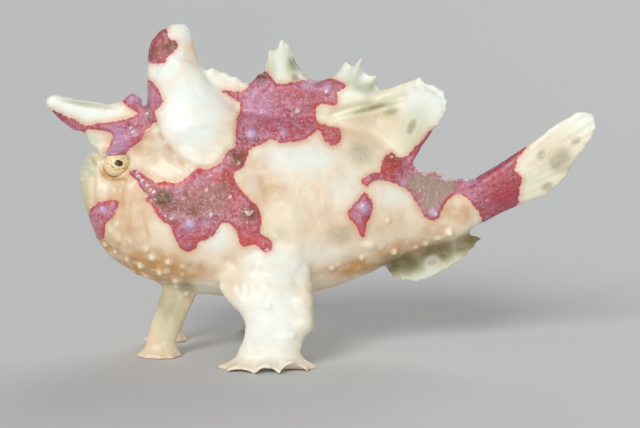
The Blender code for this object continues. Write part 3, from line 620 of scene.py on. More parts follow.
marks = {  # soft fields: pixel, half width, half height, strength, and a turn in degrees if any
    "lavender": [
        (260, 106, 24, 26, 0.35), (112, 142, 26, 22, 0.7, -40), (146, 104, 14, 24, 0.35),
        (251.3, 133.3, 8, 8, 1), (283.8, 132.8, 6, 6, 0.9), (297.3, 111.5, 4.5, 4.5, 0.7),
        (261.5, 112, 6, 5, 0.55), (327, 88, 6, 7, 0.9), (102.5, 210, 6.5, 5.5, 1, -20),
        (190, 224.5, 9, 8, 1), (175, 216, 6, 5, 0.5), (211.5, 214, 5, 5, 0.5),
        (363.8, 207.5, 8, 8.5, 1, -30), (434.8, 213, 7, 6, 1), (253, 94, 9, 8, 0.5),
        (308, 86, 12, 5, 0.55), (118, 148, 10, 8, 0.75, -40), (134, 99, 9, 6, 0.8), (163, 94, 3, 9, 0.6),
        (481, 188, 7, 6, 0.6), (468, 181, 14, 5, 0.5, 5), (405, 183, 5, 6, 0.6), (208, 220, 9, 9, 0.3),
        (262, 82, 10, 5, 0.3), (133, 132, 8, 6, 0.55), (367, 179, 6, 5, 0.35, -30),
    ],
    "brown": [
        (164, 198.5, 14, 12, 1.4), (236, 160, 13, 12, 0.6, -45), (261, 78, 12, 8, 1),
        (247, 213, 12, 12, 0.4), (192, 210, 14, 8, 0.6), (227, 188, 14, 12, 0.45), (175, 205, 12, 10, 0.5),
        (297, 112, 8, 7, 0.45), (148, 107, 4.5, 16, 1), (170, 46, 10, 8, 1), (152, 54, 8, 12, 0.7),
        (56, 113, 9, 8, 1, 30), (251, 139, 12, 6, 0.5), (392, 163, 6, 9, 0.5, -10),
        (215, 200, 20, 14, 0.3), (143, 93, 4, 9, 0.8),
    ],
    "ash": [
        (196, 205, 44, 28, 0.85), (172, 212, 16, 14, 0.8), (160, 196, 26, 18, 0.8, 40),
        (215, 190, 24, 18, 0.8), (247, 214, 15, 15, 0.7), (240, 158, 14, 12, 0.6, -40),
        (392, 166, 9, 16, 0.5), (100, 226, 10, 14, 0.3), (148, 108, 6, 20, 0.7), (166, 48, 14, 14, 0.7),
    ],
    "russet": [
        (230, 178, 16, 18, 0.85), (240, 158, 16, 18, 0.8, -40), (236, 186, 14, 26, 0.6),
        (256, 212, 14, 24, 0.75), (150, 182, 26, 8, 0.4, 40), (160, 45, 24, 24, 0.6),
        (246, 236, 22, 16, 0.6), (390, 162, 18, 20, 0.8),
    ],
    "red": [
        (500, 186, 30, 26, 0.4), (390, 169, 15, 16, 0.75), (207, 167, 22, 7, 1, -25),
        (200, 240, 24, 12, 0.45, -10), (233, 185, 12, 30, 0.45), (318, 112, 12, 26, 0.4),
        (222, 176, 20, 12, 0.5, -30), (134, 112, 30, 6, 0.4, -20), (204, 170, 26, 6, 0.8, -25),
        (164, 184, 22, 4, 0.8), (186, 180, 14, 6, 0.7, -20), (146, 200, 8, 8, 0.7, 40),
        (158, 214, 8, 12, 0.5, -40), (252, 242, 22, 10, 0.9), (246, 232, 14, 14, 0.7),
        (268, 247, 10, 8, 0.7), (330, 128, 16, 8, 0.8, 20), (332, 136, 12, 12, 0.6),
        (362, 182, 14, 6, 0.8, -20), (420, 152, 24, 6, 0.7, -50), (363, 228, 7, 12, 0.7),
        (336, 104, 14, 5, 0.7), (519, 165, 8, 40, 0.5), (106, 118, 40, 8, 0.35, 5), (296, 92, 16, 8, 0.3),
        (312, 118, 18, 10, 0.35), (268, 122, 12, 10, 0.3), (290, 134, 24, 8, 0.4), (236, 200, 10, 24, 0.5),
        (255, 195, 8, 22, 0.4, -30), (104, 202, 14, 4, 0.5),
    ],
    "granular": [
        (422, 183, 26, 18, 1), (437, 191, 26, 18, 1), (431, 203, 15, 16, 1), (446, 186, 14, 14, 1),
    ],
    "specks": [
        (143, 184, 16, 8, 1, 45), (156, 202, 15, 9, 0.9, 50), (247, 214, 10, 10, 1), (326, 95, 9, 9, 0.8),
        (430, 193, 20, 22, 1), (149, 105, 6, 18, 1), (235, 162, 8, 8, 0.7), (262, 245, 12, 8, 0.8),
        (246, 243, 10, 8, 0.7), (300, 100, 40, 30, 0.35), (215, 205, 40, 30, 0.35), (392, 168, 9, 16, 0.8),
        (128, 130, 12, 8, 0.6), (163, 60, 14, 8, 0.4),
    ],
    "grey": [
        (361, 153, 19, 18, 0.8), (340, 235, 18, 16, 0.8), (411.5, 127, 5.5, 12, 1.5, 25),
        (391, 111, 9, 6, 0.8), (432.4, 262, 7.5, 5.5, 1.6, -20), (541, 155, 6.5, 8, 1.3, 20),
        (562, 153, 10, 9, 0.9), (555.3, 164, 8, 8, 1.1), (575.7, 141, 7, 6, 1, -30),
        (547, 186.7, 9, 7, 1.2, -20), (295, 77, 5, 8, 1.3), (280, 233, 12, 10, 0.35),
        (94, 106, 34, 4.5, 0.6, 7), (258, 340, 10, 8, 0.15),
    ],
    "ring": [
        (432.4, 262, 12, 10, 1, -20), (411.5, 127, 10, 17, 0.5, 25), (541, 155, 11, 12, 0.4, 20),
    ],
    "crimson": [
        (504, 188, 32, 36, 1), (194, 243, 18, 11, 0.55), (314, 102, 24, 20, 0.7), (334, 86, 10, 7, 0.5),
        (104, 232, 9, 9, 0.5), (270, 118, 18, 10, 0.3), (292, 94, 18, 10, 0.25), (366, 219, 7, 12, 0.5),
        (450, 186, 10, 8, 0.3), (95, 130, 26, 5, 0.4), (163, 104, 4, 12, 0.3),
    ],
    # moss: the anal fin's dark olive, partly painted shade from the body above it, and painted shade on the
    # pelvic fin under the body
    "mossAndShade": [
        (562, 163, 18, 18, 0.35), (402, 264, 38, 17, 0.95, -8), (436, 253, 38, 17, 0.95, -18),
        (466, 243, 28, 15, 0.9, -24), (168, 300, 24, 30, 0.35), (186, 290, 14, 14, 0.6),
    ],
    # painted shade along the creases: a darker peach in the folds under the third spine's web, in the grooves
    # of the cheek and jaw, and on the belly
    "foldShade": [
        (161, 136, 3.4, 10, 0.75, -35), (170, 149, 3.6, 12, 0.8, -38), (181, 161.5, 3.6, 10, 0.75, -48),
        (138, 148, 10, 5, 0.3, -40), (256, 268, 10, 5, 0.25), (130, 216, 3.5, 30, 0.35, 4),
        (146, 226, 3.5, 24, 0.35, -14), (112, 214, 3, 26, 0.25),
    ],
    # painted shade over the skin's own tan: under the eye, in the creases, on the cheek and jaw, and along
    # the lower head, belly and tail root
    "tanShade": [
        (105, 172, 6, 11, 1.2, -20), (118, 179.5, 14, 4.5, 1.4, 4), (150, 268, 60, 30, 1),
        (140, 205, 26, 34, 0.45), (262, 162, 22, 14, 0.75, -20), (112, 246, 18, 16, 0.8, 30),
        (435, 229, 26, 12, 0.5), (548, 152, 34, 24, 0.3, -30), (150, 152, 24, 12, 0.4, 20),
        (185, 272, 40, 18, 0.9), (118, 205, 16, 40, 0.55), (262, 188, 40, 28, 0.6),
        (356, 267, 44, 16, 0.95, -5), (458, 213, 26, 16, 0.7), (300, 150, 50, 14, 0.25),
        (132, 238, 26, 34, 0.45), (250, 262, 30, 22, 0.35), (172, 150, 18, 16, 0.55, -45),
        (400, 250, 50, 16, 0.75, -10), (380, 222, 44, 24, 0.3), (175, 300, 26, 40, 0.3),
        (375, 120, 40, 26, 0.3), (112, 176, 14, 6, 0.8), (150, 175, 20, 8, 0.5, 20),
        (92, 235, 14, 22, 0.4), (148, 134, 12, 14, 0.5, -20),
    ],
    # pale skin of the spines, webs, lips, legs and fins, and a painted highlight where the front light falls
    # strongest: the third spine, the leg and the rear dorsal lobe
    "white": [
        (186, 24, 24, 26, 1), (54, 100, 18, 12, 1), (232, 74, 32, 14, 1, 15), (248, 92, 8, 16, 0.4),
        (92, 142, 14, 16, 0.8, 30), (88, 166, 12, 18, 0.4, 20), (300, 158, 64, 22, 0.85),
        (252, 186, 10, 20, 0.3), (345, 185, 30, 24, 0.5), (320, 255, 44, 14, 0.4), (205, 288, 40, 12, 0.4),
        (281, 58, 14, 30, 0.7), (354, 74, 26, 18, 0.7), (430, 276, 60, 9, 0.8, -12), (192, 110, 52, 74, 1),
        (165, 60, 30, 40, 1), (85, 108, 50, 22, 1), (268, 320, 60, 70, 0.9), (428, 100, 40, 34, 1),
        (214, 236, 24, 22, 0.9), (395, 195, 24, 20, 0.5), (300, 170, 60, 20, 0.35),
        (585, 120, 30, 20, 0.7), (355, 90, 26, 12, 0.6), (540, 130, 40, 16, 0.5, -30),
        (275, 268, 54, 34, 0.85),
    ],
    # the olive tint of lips, fin webs and membranes, and painted shade in the groove under the dorsal fin's
    # fold, at the anal fin's root and on the pelvic fin
    "greenAndShade": [
        (78, 103, 30, 3.6, 0.5, 8), (430, 266, 66, 22, 0.4, -18), (84, 166, 9, 14, 0.45),
        (91, 168, 9, 18, 0.5), (86, 200, 8, 30, 0.4, -10), (168, 318, 26, 50, 0.4),
        (295, 66, 9, 18, 0.85, -25), (306, 76, 10, 7, 0.8, 20), (292, 64, 10, 16, 0.5),
        (272, 70, 7, 14, 0.3), (352, 82, 12, 12, 0.35), (366, 88, 22, 8, 0.5),
        (372, 108, 40, 5, 0.75, -15), (390, 111, 14, 7, 0.5, -20), (84, 185, 8, 26, 0.4),
        (93, 140, 12, 8, 0.4, 30), (475, 238, 18, 9, 0.9, -30), (415, 126, 18, 34, 0.35, 20),
        (318, 312, 10, 26, 0.3),
    ],
}


def softMarks(px, py, rows):
    # the strongest of the soft ovals at each point
    field = np.zeros(len(px))
    for x, y, wide, high, strength, *turn in rows:
        angle = math.radians(sum(turn))
        right, down = px - x, py - y
        a = (right * math.cos(angle) + down * math.sin(angle)) / wide
        b = (down * math.cos(angle) - right * math.sin(angle)) / high
        field = np.maximum(field, strength * smoothStep(1.0, 0.25, np.sqrt(a * a + b * b)))
    return field


def setField(piece, name, values):
    layer = piece.data.attributes.new(name, "FLOAT", "POINT")
    layer.data.foreach_set("value", np.asarray(values, np.float32))


def noiseField(where, size, seed):
    # smooth noise from -1 to 1, with lumps of that size in mm
    scale = 1 / (size * mm)
    return np.array([noise.noise(Vector(p) * scale + Vector((seed, 0, 0))) for p in where])


def scatter(where, px, py):
    # places of the small bumps, thick where the photograph shows them thick
    random = np.random.default_rng(pimples["seed"])
    chosen = []
    for i in random.permutation(len(where))[: pimples["tries"]]:
        chance = max(
            share * math.exp(-(((px[i] - x) / wide) ** 2) - ((py[i] - y) / high) ** 2)
            for x, y, wide, high, share in pimples["places"]
        )
        if random.random() < chance + pimples["anywhere"] and all(
            (where[i] - where[j]) @ (where[i] - where[j]) > (pimples["gap"] * mm) ** 2 for j in chosen
        ):
            chosen.append(i)
    return chosen, random


def patchDepth(px, py, where):
    depth = np.full(len(px), -50.0)
    for name, outline in patches.items():
        inside = insideOutline(px, py, outline)
        if name == "mouthCorner":  # it stays off the middle of the chin
            inside = np.minimum(inside, (np.abs(where[:, 1]) / mm - 4.6) * 0.6)
        depth = np.maximum(depth, inside)
    return depth


def spotsOf(rows):
    # distances in mm from each row's place on the left side, and from its mirror on the right
    for spotX, spotY, *rest in rows:
        centre = onSkin(tree, spotX, spotY)
        for place in bothSides(tree, [centre]) if centre else []:
            yield np.sqrt(((points - np.array(place[0])) ** 2).sum(axis=1)) / mm, *rest


web = {  # the left foot's web, arched off the floor between its toes, in mm of the row frame
    "edge": (-20.6, -16.8), "low": 2.4,
    "arches": [(-14.6, 2.4, 0.7), (-9.8, 2.2, 1.1), (-5.0, 2.6, 1.9)],  # x, half width and height
}


def liftWeb(where):
    x, y, z = (where / mm).T
    rise = sum(high * np.clip(1 - ((x - middle) / half) ** 2, 0, 1) for middle, half, high in web["arches"])
    outer = smoothStep(web["edge"][1], web["edge"][0], y)
    return rise * outer * smoothStep(web["low"] * 1.6, 0.2, z) * mm


relief = {  # mm
    "dot": 0.14, "patch": 0.14, "patchGrain": 0.13, "folds": 0.17, "grain": 0.05,
    "grainSize": 0.9, "foldSizes": (3.2, 1.8),
}
px, py = sidePicture(points, finShare)
inPatch = smoothStep(0.0, 0.7, patchDepth(px, py, points))
rayField = rayHeight(points, finSide) * (1 - (1 - rays["tailShare"]) * finSide["caudal_fin"])
lift = rayField * rays["height"]
wartField, dotField, pimpleField = (np.zeros(len(points)) for _ in range(3))
for away, radius, height in spotsOf(warts):
    lift = lift + height * dome(away, radius)
    wartField = np.maximum(wartField, dome(away, radius * 1.1))
for away, radius in spotsOf(dots):
    lift = lift + relief["dot"] * dome(away, radius * 1.9)
    dotField = np.maximum(dotField, 1.1 - away / radius)
chosen, random = scatter(points, px, py)
finder = kdtree.KDTree(len(points))
for i, place in enumerate(points):
    finder.insert(place, i)
finder.balance()
for i in chosen:
    radius, height = random.uniform(*pimples["radius"]), random.uniform(*pimples["height"])
    for _, j, away in finder.find_range(points[i], radius * mm):
        bump = (1 - (away / mm / radius) ** 2) ** 2
        pimpleField[j] = max(pimpleField[j], bump)
        lift[j] += height * bump * (1 - 0.5 * finShare[j])
pimpleField = np.maximum(0.7 * pimpleField, wartField * (1 - inPatch))
grains = noiseField(points, relief["grainSize"], 3.0)
folds = noiseField(points * np.array((1.0, 1.0, 0.55)), relief["foldSizes"][0], 11.0)
folds += 0.5 * noiseField(points, relief["foldSizes"][1], 5.0)
lift += inPatch * (relief["patch"] + relief["patchGrain"] * grains) * (1 - 0.6 * finShare)
lift += relief["folds"] * folds * (1 - 0.75 * thin) * (1 - 0.5 * spineShare)
lift += relief["grain"] * grains * (1 - thin)
sole = smoothStep(0.9, 0.1, points[:, 2] / mm) * footShare
points = points + normals * (lift * mm * (1 - sole))[:, None]
points[:, 2] += liftWeb(points) * footShare
points[:, 2] = np.maximum(points[:, 2], 0.0)
writePoints(skin, points)
points, normals = readPoints(skin)
px, py = sidePicture(points, finShare)
for name, rows in marks.items():
    setField(skin, name, softMarks(px, py, rows))
setField(skin, "patch", patchDepth(px, py, points))
setField(skin, "dot", dotField)
setField(skin, "pimple", pimpleField)
setField(skin, "ray", rayField)
setField(skin, "fin", finShare)
# painted shade: the skin that faces down, away from fins and feet, takes this share and turns peach
setField(skin, "low", smoothStep(0.2, -0.9, normals[:, 2]) * (1 - thin))
print("stage: warts, bumps, rays and marks,", len(chosen), "small bumps")


def tint(*painted):
    # a colour as a painter reads it, 0 to 255, for the shader
    shares = [c / 255 for c in painted]
    return (*[c / 12.92 if c <= 0.04045 else ((c + 0.055) / 1.055) ** 2.4 for c in shares], 1.0)


def put(tree, kind, inputs=None, **settings):
    # a node with its settings, its plain values and its links
    made = tree.nodes.new(kind)
    for name, value in settings.items():
        setattr(made, name, value)
    for name, value in (inputs or {}).items():
        if isinstance(value, bpy.types.NodeSocket):
            tree.links.new(value, made.inputs[name])
        else:
            made.inputs[name].default_value = value
    return made


def treeOf(*values):
    return next(value.id_data for value in values if isinstance(value, bpy.types.NodeSocket))


def blend(share, low, high):
    inputs = {0: share, 6: low, 7: high}
    return put(treeOf(share, low, high), "ShaderNodeMix", inputs, data_type="RGBA").outputs[2]


def ramp(value, low, high, start=0.0, end=1.0):
    inputs = {"Value": value, "From Min": low, "From Max": high, "To Min": start, "To Max": end}
    made = put(treeOf(value), "ShaderNodeMapRange", inputs, interpolation_type="SMOOTHSTEP")
    return made.outputs["Result"]


def reckon(operation, a, b=0.0):
    return put(treeOf(a, b), "ShaderNodeMath", {0: a, 1: b}, operation=operation).outputs[0]


def times(a, b):
    return reckon("MULTIPLY", a, b)


def plus(a, b):
    return reckon("ADD", a, b)


def minus(a, b):
    return reckon("SUBTRACT", a, b)


def cloud(where, scale, detail=3.0):
    inputs = {"Vector": where, "Scale": scale, "Detail": detail, "Roughness": 0.55}
    return put(treeOf(where), "ShaderNodeTexNoise", inputs).outputs["Fac"]


def cells(where, scale):
    return put(treeOf(where), "ShaderNodeTexVoronoi", {"Vector": where, "Scale": scale}).outputs


def field(tree, name):
    return put(tree, "ShaderNodeAttribute", attribute_name=name).outputs["Fac"]


def onObject(tree):
    return put(tree, "ShaderNodeTexCoord").outputs["Object"]


def newMaterial(name):
    made = bpy.data.materials.new(name)
    made.use_nodes = True
    return made, made.node_tree, made.node_tree.nodes["Principled BSDF"]


def addRelief(shader, height, strength):
    inputs = {"Height": height, "Strength": strength, "Distance": mm}
    bump = put(treeOf(height), "ShaderNodeBump", inputs)
    treeOf(height).links.new(bump.outputs[0], shader.inputs["Normal"])


def finish(piece, material):
    piece.data.materials.append(material)
    for face in piece.data.polygons:
        face.use_smooth = True


grainLook = {"fine": (2600, 4, 0.055), "coarse": (900, 3, 0.07)}  # scale, detail and height in mm
pitLook = {"scale": 1900, "wide": 0.55, "height": 0.02}


def makeGrainGroup():
    # fine skin grain, as a height in mm
    made = bpy.data.node_groups.new("skinGrain", "ShaderNodeTree")
    for name, way in (("Fineness", "INPUT"), ("Height", "OUTPUT")):
        made.interface.new_socket(name=name, in_out=way, socket_type="NodeSocketFloat")
    start, end = put(made, "NodeGroupInput"), put(made, "NodeGroupOutput")
    inputs = {0: onObject(made), "Scale": start.outputs["Fineness"]}
    where = put(made, "ShaderNodeVectorMath", inputs, operation="SCALE").outputs[0]
    pits = ramp(cells(where, pitLook["scale"])["Distance"], 0.0, pitLook["wide"])
    height = times(pits, pitLook["height"])
    for scale, detail, high in grainLook.values():
        height = plus(height, times(cloud(where, scale, detail), high))
    made.links.new(height, end.inputs["Height"])
    return made


def grained(tree, fineness=1.0):
    return put(tree, "ShaderNodeGroup", {"Fineness": fineness}, node_tree=grain).outputs["Height"]


skinColour = {
    "cream": (243, 229, 204), "peach": (226, 186, 146), "tanShade": (204, 150, 86), "white": (244, 250, 242),
    "olive": (116, 106, 48), "leaf": (176, 190, 134), "grey": (190, 180, 154), "rose": (194, 90, 104),
    "mauve": (208, 152, 174), "deep": (136, 42, 52), "rim": (186, 58, 48), "finPale": (240, 238, 214),
    "coral": (214, 72, 58), "lavender": (204, 172, 208), "brown": (110, 76, 28), "foldShade": (206, 158, 110),
    "sand": (176, 154, 138), "ash": (174, 122, 102), "russet": (164, 66, 50), "crimson": (160, 50, 76),
    "mossAndShade": (112, 98, 48), "halo": (216, 140, 104), "pimple": (248, 240, 214), "dot": (234, 216, 208),
}
skinNoise = {"big": (130, 2), "middle": (420, 3), "small": (1500, 4), "tiny": (4200, 3)}  # scale, detail
skinLayers = {  # mark, colour, noise, the noise's low and high and the shares there, or one share
    "ground": [
        # painted shade: peach where the skin faces down, and tan in the hollows and on the lower parts
        ("low", "peach", "", 0.2), ("fin", "finPale", "", 0.75), ("tanShade", "tanShade", "middle", 0.3, 0.62, 0.45, 1),
        # white: pale skin with a painted highlight on the third spine, the leg and the rear dorsal lobe
        ("white", "white", "middle", 0.25, 0.6, 0.75, 1), ("greenAndShade", "leafy", "middle", 0.3, 0.6, 0.85, 1),
        ("foldShade", "foldShade", "", 1), ("mossAndShade", "mossAndShade", "middle", 0.3, 0.6, 0.8, 1), ("ring", "white", "", 0.6),
        ("grey", "grey", "small", 0.25, 0.6, 0.5, 0.9), ("pimple", "pimple", "", 0.75),
    ],
    "patch": [
        ("ash", "ash", "small", 0.3, 0.6, 0.5, 0.9), ("crimson", "crimson", "small", 0.3, 0.6, 1, 0.6),
        ("russet", "russet", "middle", 0.3, 0.6, 0.55, 0.9),
    ],
    "overGrit": [
        ("brown", "brown", "small", 0.32, 0.55, 0.45, 0.95),
        ("granular", "sand", "tiny", 0.3, 0.5, 0.4, 0.95),
        ("lavender", "lavender", "small", 0.25, 0.55, 0.6, 1),
        ("ray", "deep", "", 0.8), ("red", "coral", "small", 0.35, 0.6, 0.35, 0.9),
    ],
}
skinFinish = {
    "Coat Weight": 0.22, "Coat Roughness": 0.22, "Subsurface Weight": 0.12,
    "Subsurface Radius": (1.0, 0.55, 0.35), "Subsurface Scale": 0.0012,
}
skinRough = {"low": 0.36, "high": 0.52, "patchLess": 0.07}


def makeSkinMaterial():
    made, tree, shader = newMaterial("wetSkin")
    c = {name: tint(*value) for name, value in skinColour.items()}
    where = onObject(tree)
    noises = {name: cloud(where, *row) for name, row in skinNoise.items()}
    middle, small = noises["middle"], noises["small"]
    grit, pebble = cells(where, 2300), cells(where, 1250)["Distance"]
    gap = grit["Distance"]

    def painted(colour, rows):
        for mark, paint, over, *span in rows:
            share = times(field(tree, mark), ramp(noises[over], *span) if over else span[0])
            # strong green marks turn dark olive, which in the groove and on the pelvic fin is painted shade
            if paint == "leafy":
                c[paint] = blend(ramp(share, 0.2, 0.9), c["leaf"], c["olive"])
            colour = blend(share, colour, c[paint])
        return colour

    # plain ground: cream with peach clouds, tan clouds that are mostly painted shade, painted shade in peach
    # where the skin faces down and along the creases, white heights with a painted highlight, green webs with
    # painted shade in the groove and on the pelvic fin, moss with painted shade under the body, and grey
    # spots
    colour = blend(ramp(noises["big"], 0.42, 0.68, 0, 0.5), c["cream"], c["peach"])
    colour = painted(colour, skinLayers["ground"])
    share = times(times(field(tree, "ray"), 0.16), minus(1, field(tree, "mossAndShade")))
    colour = blend(share, colour, c["white"])
    # red patches: a wavy edge, a thin uneven rim, a mottled and gritty middle
    wave = plus(times(minus(small, 0.5), 0.75), times(minus(noises["tiny"], 0.5), 0.3))
    depth = plus(field(tree, "patch"), wave)
    inside = ramp(depth, -0.14, 0.12)
    colour = blend(ramp(depth, -1.3, 0.15, 0, 0.45), colour, c["halo"])
    patch = blend(ramp(small, 0.36, 0.62), c["mauve"], c["rose"])
    patch = blend(ramp(middle, 0.46, 0.66, 0, 0.55), patch, c["mauve"])
    patch = painted(patch, skinLayers["patch"])
    share = times(ramp(gap, 0.28, 0.62), ramp(middle, 0.36, 0.6, 0.5, 0.12))
    patch = painted(blend(share, patch, c["deep"]), skinLayers["overGrit"])
    rim = times(ramp(depth, 0.8, 0.1), ramp(middle, 0.38, 0.62, 0.1, 0.85))
    patch = blend(rim, patch, blend(field(tree, "red"), c["rim"], c["coral"]))
    # pale specks, each on a cell of the grit
    chance = put(tree, "ShaderNodeSeparateColor", {0: grit["Color"]}).outputs
    pale = ramp(gap, 0.4, 0.12)
    share = times(ramp(chance[0], 0.5, 0.8, 0, 0.36), minus(1, field(tree, "crimson")))
    patch = blend(times(pale, share), patch, c["lavender"])
    share = times(field(tree, "specks"), ramp(chance[1], 0.4, 0.7, 0.1, 0.9))
    patch = blend(times(pale, share), patch, c["dot"])
    colour = blend(inside, colour, patch)
    colour = blend(ramp(field(tree, "dot"), 0, 0.35, 0, 0.85), colour, c["dot"])
    tree.links.new(colour, shader.inputs["Base Color"])
    # relief: fine grain all over, and gritty pebbles in the patches
    gritty = plus(times(ramp(pebble, 0.6, 0), 0.16), times(ramp(gap, 0.55, 0), 0.1))
    addRelief(shader, plus(times(gritty, inside), grained(tree)), 0.55)
    rough = ramp(small, 0.3, 0.7, skinRough["low"], skinRough["high"])
    rough = minus(rough, times(inside, skinRough["patchLess"]))
    tree.links.new(rough, shader.inputs["Roughness"])
    for name, value in skinFinish.items():
        shader.inputs[name].default_value = value
    return made


grain = makeGrainGroup()
finish(skin, makeSkinMaterial())
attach(skin, "root")
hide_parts(*fleshNodes)
print("stage: skin painted")

eyeLook = {
    "iris": (243, 217, 160), "irisPale": (246, 232, 192), "edge": (242, 222, 186), "mark": (176, 138, 62),
    "pupil": (74, 34, 16), "pupilRing": (128, 76, 40), "pupilAt": (0.02, 0.02), "pupilHalf": (0.32, 0.22),
    "pupilTurn": -18.0, "cornea": 0.048, "corneaHalf": 0.5, "coat": 0.3, "coatRoughness": 0.05,
    "dashes": [  # across and up from the pupil, half length, half width, turn in degrees
        (0.52, -0.34, 0.14, 0.05, 52), (0.60, -0.14, 0.1, 0.045, 74), (0.36, -0.42, 0.09, 0.045, 20),
        (0.06, -0.48, 0.1, 0.04, -12), (-0.46, -0.26, 0.1, 0.055, -50), (0.44, 0.4, 0.06, 0.05, -40),
        (-0.86, 0.02, 0.1, 0.07, 10), (-0.5, 0.24, 0.07, 0.04, 62), (-0.24, -0.48, 0.08, 0.04, -30),
    ],
}


def makeEye(name, centre, axis):
    # a ball drawn with its pole ahead, then turned along the eye's axis
    deselectAll()
    radius = eye["radius"] * mm
    bpy.ops.mesh.primitive_uv_sphere_add(segments=72, ring_count=48, radius=radius)
    made = bpy.context.object
    made.name = made.data.name = name
    where, _ = readPoints(made)
    angle = np.arccos(np.clip(where[:, 2] / radius, -1, 1))
    around = np.arctan2(where[:, 1], where[:, 0])
    setField(made, "right", angle * np.cos(around) * -np.sign(axis.y))
    setField(made, "upward", angle * np.sin(around))
    bulge = 1 + eyeLook["cornea"] * smoothStep(eyeLook["corneaHalf"], 0.0, angle)
    turn = np.array(axis.to_track_quat("Z", "Y").to_matrix())
    writePoints(made, where * bulge[:, None] @ turn.T + np.array(centre))
    return made


def ovalField(right, upward, place, half, turn):
    # distance from an oval's middle, 1 at its edge
    turn = math.radians(turn)
    right, upward = minus(right, place[0]), minus(upward, place[1])
    a = plus(times(right, math.cos(turn) / half[0]), times(upward, math.sin(turn) / half[0]))
    b = minus(times(upward, math.cos(turn) / half[1]), times(right, math.sin(turn) / half[1]))
    return reckon("SQRT", plus(times(a, a), times(b, b)))


def makeEyeMaterial():
    made, tree, shader = newMaterial("fishEye")
    c = {name: tint(*eyeLook[name]) for name in ("iris", "irisPale", "edge", "mark", "pupil", "pupilRing")}
    right, upward = field(tree, "right"), field(tree, "upward")
    away = reckon("SQRT", plus(times(right, right), times(upward, upward)))
    small = cloud(onObject(tree), 1500, 4)
    colour = blend(ramp(small, 0.35, 0.65), c["iris"], c["irisPale"])
    for atX, atY, long, thick, turn in eyeLook["dashes"]:
        oval = ovalField(right, upward, (atX, atY), (long, thick), turn)
        oval = plus(oval, times(minus(small, 0.5), 1.5))
        colour = blend(ramp(oval, 1.5, 0.7, 0, 0.8), colour, c["mark"])
    colour = blend(ramp(away, 0.75, 1.15), colour, c["edge"])
    oval = ovalField(right, upward, eyeLook["pupilAt"], eyeLook["pupilHalf"], eyeLook["pupilTurn"])
    colour = blend(ramp(oval, 1.6, 1.25, 0, 0.6), colour, c["irisPale"])
    colour = blend(ramp(oval, 1.16, 0.98), colour, c["pupilRing"])
    colour = blend(ramp(oval, 1.0, 0.85), colour, c["pupil"])
    tree.links.new(colour, shader.inputs["Base Color"])
    addRelief(shader, times(grained(tree), ramp(away, 0.55, 0.9)), 0.5)
    tree.links.new(ramp(away, 0.5, 0.95, 0.3, 0.42), shader.inputs["Roughness"])
    shader.inputs["Coat Weight"].default_value = eyeLook["coat"]
    shader.inputs["Coat Roughness"].default_value = eyeLook["coatRoughness"]
    return made


eyeMaterial = makeEyeMaterial()
for node, (centre, axis) in zip(eyeNodes, eyeSides()):
    ball = makeEye(node.replace("eye", "eyeball"), centre, axis)
    finish(ball, eyeMaterial)
    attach(ball, "root")
    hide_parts(node)
print("stage: eyes")

lure = {  # mm of the fish's own drawing
    "path": [(-41.0, 3.2, 41.1), (-38.5, 3.7, 42.6), (-35.0, 4.4, 44.3), (-31.5, 5.4, 46.3),
             (-28.0, 6.1, 48.4), (-24.4, 6.1, 50.6)],
    "radius": (0.52, 0.3), "bait": (-23.6, 6.1, 51.1), "baitHalf": (1.45, 0.6, 0.9),
    "threads": 11, "thread": (1.5, 0.11), "seed": 3, "voxel": 0.13,
    "pale": (226, 206, 168), "dark": (200, 168, 120), "band": (150, 84, 70), "bandScale": 260,
}


def makeLure():
    # a stalk that thins along its path, and a leafy bait like a tiny fish at its end
    path = [drawn(p) for p in lure["path"]]
    wide, narrow = lure["radius"]
    deselectAll()
    bpy.ops.curve.primitive_bezier_curve_add()
    stalk = bpy.context.object
    spline = stalk.data.splines[0]
    spline.bezier_points.add(len(path) - 2)
    for i, (knot, place) in enumerate(zip(spline.bezier_points, path)):
        knot.co = place
        knot.handle_left_type = knot.handle_right_type = "AUTO"
        share = i / (len(path) - 1)
        knot.radius = (wide * (1 - share) + narrow * share) / wide
    stalk.data.bevel_depth = wide * mm
    stalk.data.bevel_resolution = 4
    stalk.data.resolution_u = 10
    stalk.data.use_fill_caps = True
    pick(stalk)
    bpy.ops.object.convert(target="MESH")
    pieces = [bpy.context.object]
    bait = drawn(lure["bait"])
    bpy.ops.mesh.primitive_uv_sphere_add(segments=20, ring_count=14, radius=1.0, location=bait)
    pieces.append(bpy.context.object)
    pieces[-1].scale = [v * mm for v in lure["baitHalf"]]
    pieces[-1].rotation_euler = (path[-1] - path[-2]).to_track_quat("X", "Z").to_euler()
    random = np.random.default_rng(lure["seed"])
    long, thick = lure["thread"]
    for i in range(lure["threads"]):
        spin = 2 * math.pi * i / lure["threads"]
        side = Vector((random.uniform(0.1, 0.9), math.cos(spin) * 0.5, math.sin(spin) + 0.2)).normalized()
        length = long * random.uniform(0.6, 1.0) * mm
        bpy.ops.mesh.primitive_cone_add(
            vertices=8, radius1=3 * thick * mm, radius2=thick * mm, depth=length,
            location=bait + side * (0.35 * mm + length / 2), rotation=side.to_track_quat("Z", "Y").to_euler(),
        )
        pieces.append(bpy.context.object)
    made = joined(pieces, "lure")
    bpy.ops.object.transform_apply(location=True, rotation=True, scale=True)
    applied(made, "REMESH", mode="VOXEL", voxel_size=lure["voxel"] * mm)
    applied(made, "SMOOTH", factor=0.5, iterations=3)
    return made


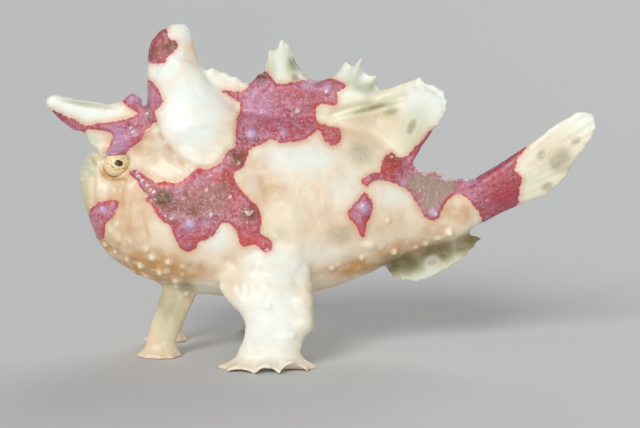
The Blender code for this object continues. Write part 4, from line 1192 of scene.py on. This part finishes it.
def makeLureMaterial():
    made, tree, shader = newMaterial("lureSkin")
    where = onObject(tree)
    inputs = {"Vector": where, "Scale": lure["bandScale"], "Distortion": 3.0, "Detail": 2.0}
    band = put(tree, "ShaderNodeTexWave", inputs).outputs["Fac"]
    small = cloud(where, 1200, 3)
    colour = blend(ramp(small, 0.35, 0.65), tint(*lure["pale"]), tint(*lure["dark"]))
    colour = blend(ramp(band, 0.62, 0.85, 0, 0.7), colour, tint(*lure["band"]))
    tree.links.new(colour, shader.inputs["Base Color"])
    addRelief(shader, grained(tree, 1.6), 0.4)
    tree.links.new(ramp(small, 0.3, 0.7, 0.38, 0.5), shader.inputs["Roughness"])
    shader.inputs["Coat Weight"].default_value = skinFinish["Coat Weight"]
    return made


lurePiece = makeLure()
finish(lurePiece, makeLureMaterial())
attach(lurePiece, "root")
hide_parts("illicium")
print("stage: lure")

studio = {
    "floor": 60.0, "floorColour": (212, 213, 213), "worldColour": (232, 234, 236),
    "world": (0.62, 0.31), "sky": 0.4,
    "lamps": [  # name, the way to the light, strength, angle in degrees, colour
        ("keyLight", (-0.38, -0.72, 0.58), 1.62, 26, (1.0, 0.985, 0.965)),
        ("frontLight", (0.12, -0.97, 0.06), 0.95, 24, (1.0, 0.99, 0.97)),
        ("backLight", (0.35, 0.75, 0.55), 0.9, 40, (1.0, 1.0, 1.0)),
    ],
}


def makeStudio():
    deselectAll()
    bpy.ops.mesh.primitive_plane_add(size=studio["floor"], location=(0, 0, 0))
    floor = bpy.context.object
    floor.name = "floor"
    plain, _, shader = newMaterial("paleFloor")
    shader.inputs["Base Color"].default_value = tint(*studio["floorColour"])
    shader.inputs["Roughness"].default_value = 0.8
    shader.inputs["Specular IOR Level"].default_value = 0.2
    floor.data.materials.append(plain)
    for name, way, power, angle, colour in studio["lamps"]:
        turn = (-Vector(way)).to_track_quat("-Z", "Y").to_euler()
        bpy.ops.object.light_add(type="SUN", location=way, rotation=turn)
        lamp = bpy.context.object
        lamp.name = name
        lamp.data.energy = power
        lamp.data.angle = math.radians(angle)
        lamp.data.color = colour
    world = bpy.data.worlds.new("softRoom")
    bpy.context.scene.world = world
    world.use_nodes = True
    sky = world.node_tree
    back = sky.nodes.get("Background") or put(sky, "ShaderNodeBackground")
    back.inputs[0].default_value = tint(*studio["worldColour"])
    # the room is as bright as the floor at the horizon, and dimmer above
    height = put(sky, "ShaderNodeSeparateXYZ", {0: put(sky, "ShaderNodeTexCoord").outputs["Generated"]})
    sky.links.new(ramp(height.outputs["Z"], 0.0, studio["sky"], *studio["world"]), back.inputs[1])
    look = bpy.context.scene.view_settings
    look.view_transform = "Standard"
    look.look = "None"
    look.exposure = 0.0


makeStudio()
print("stage: floor and light")
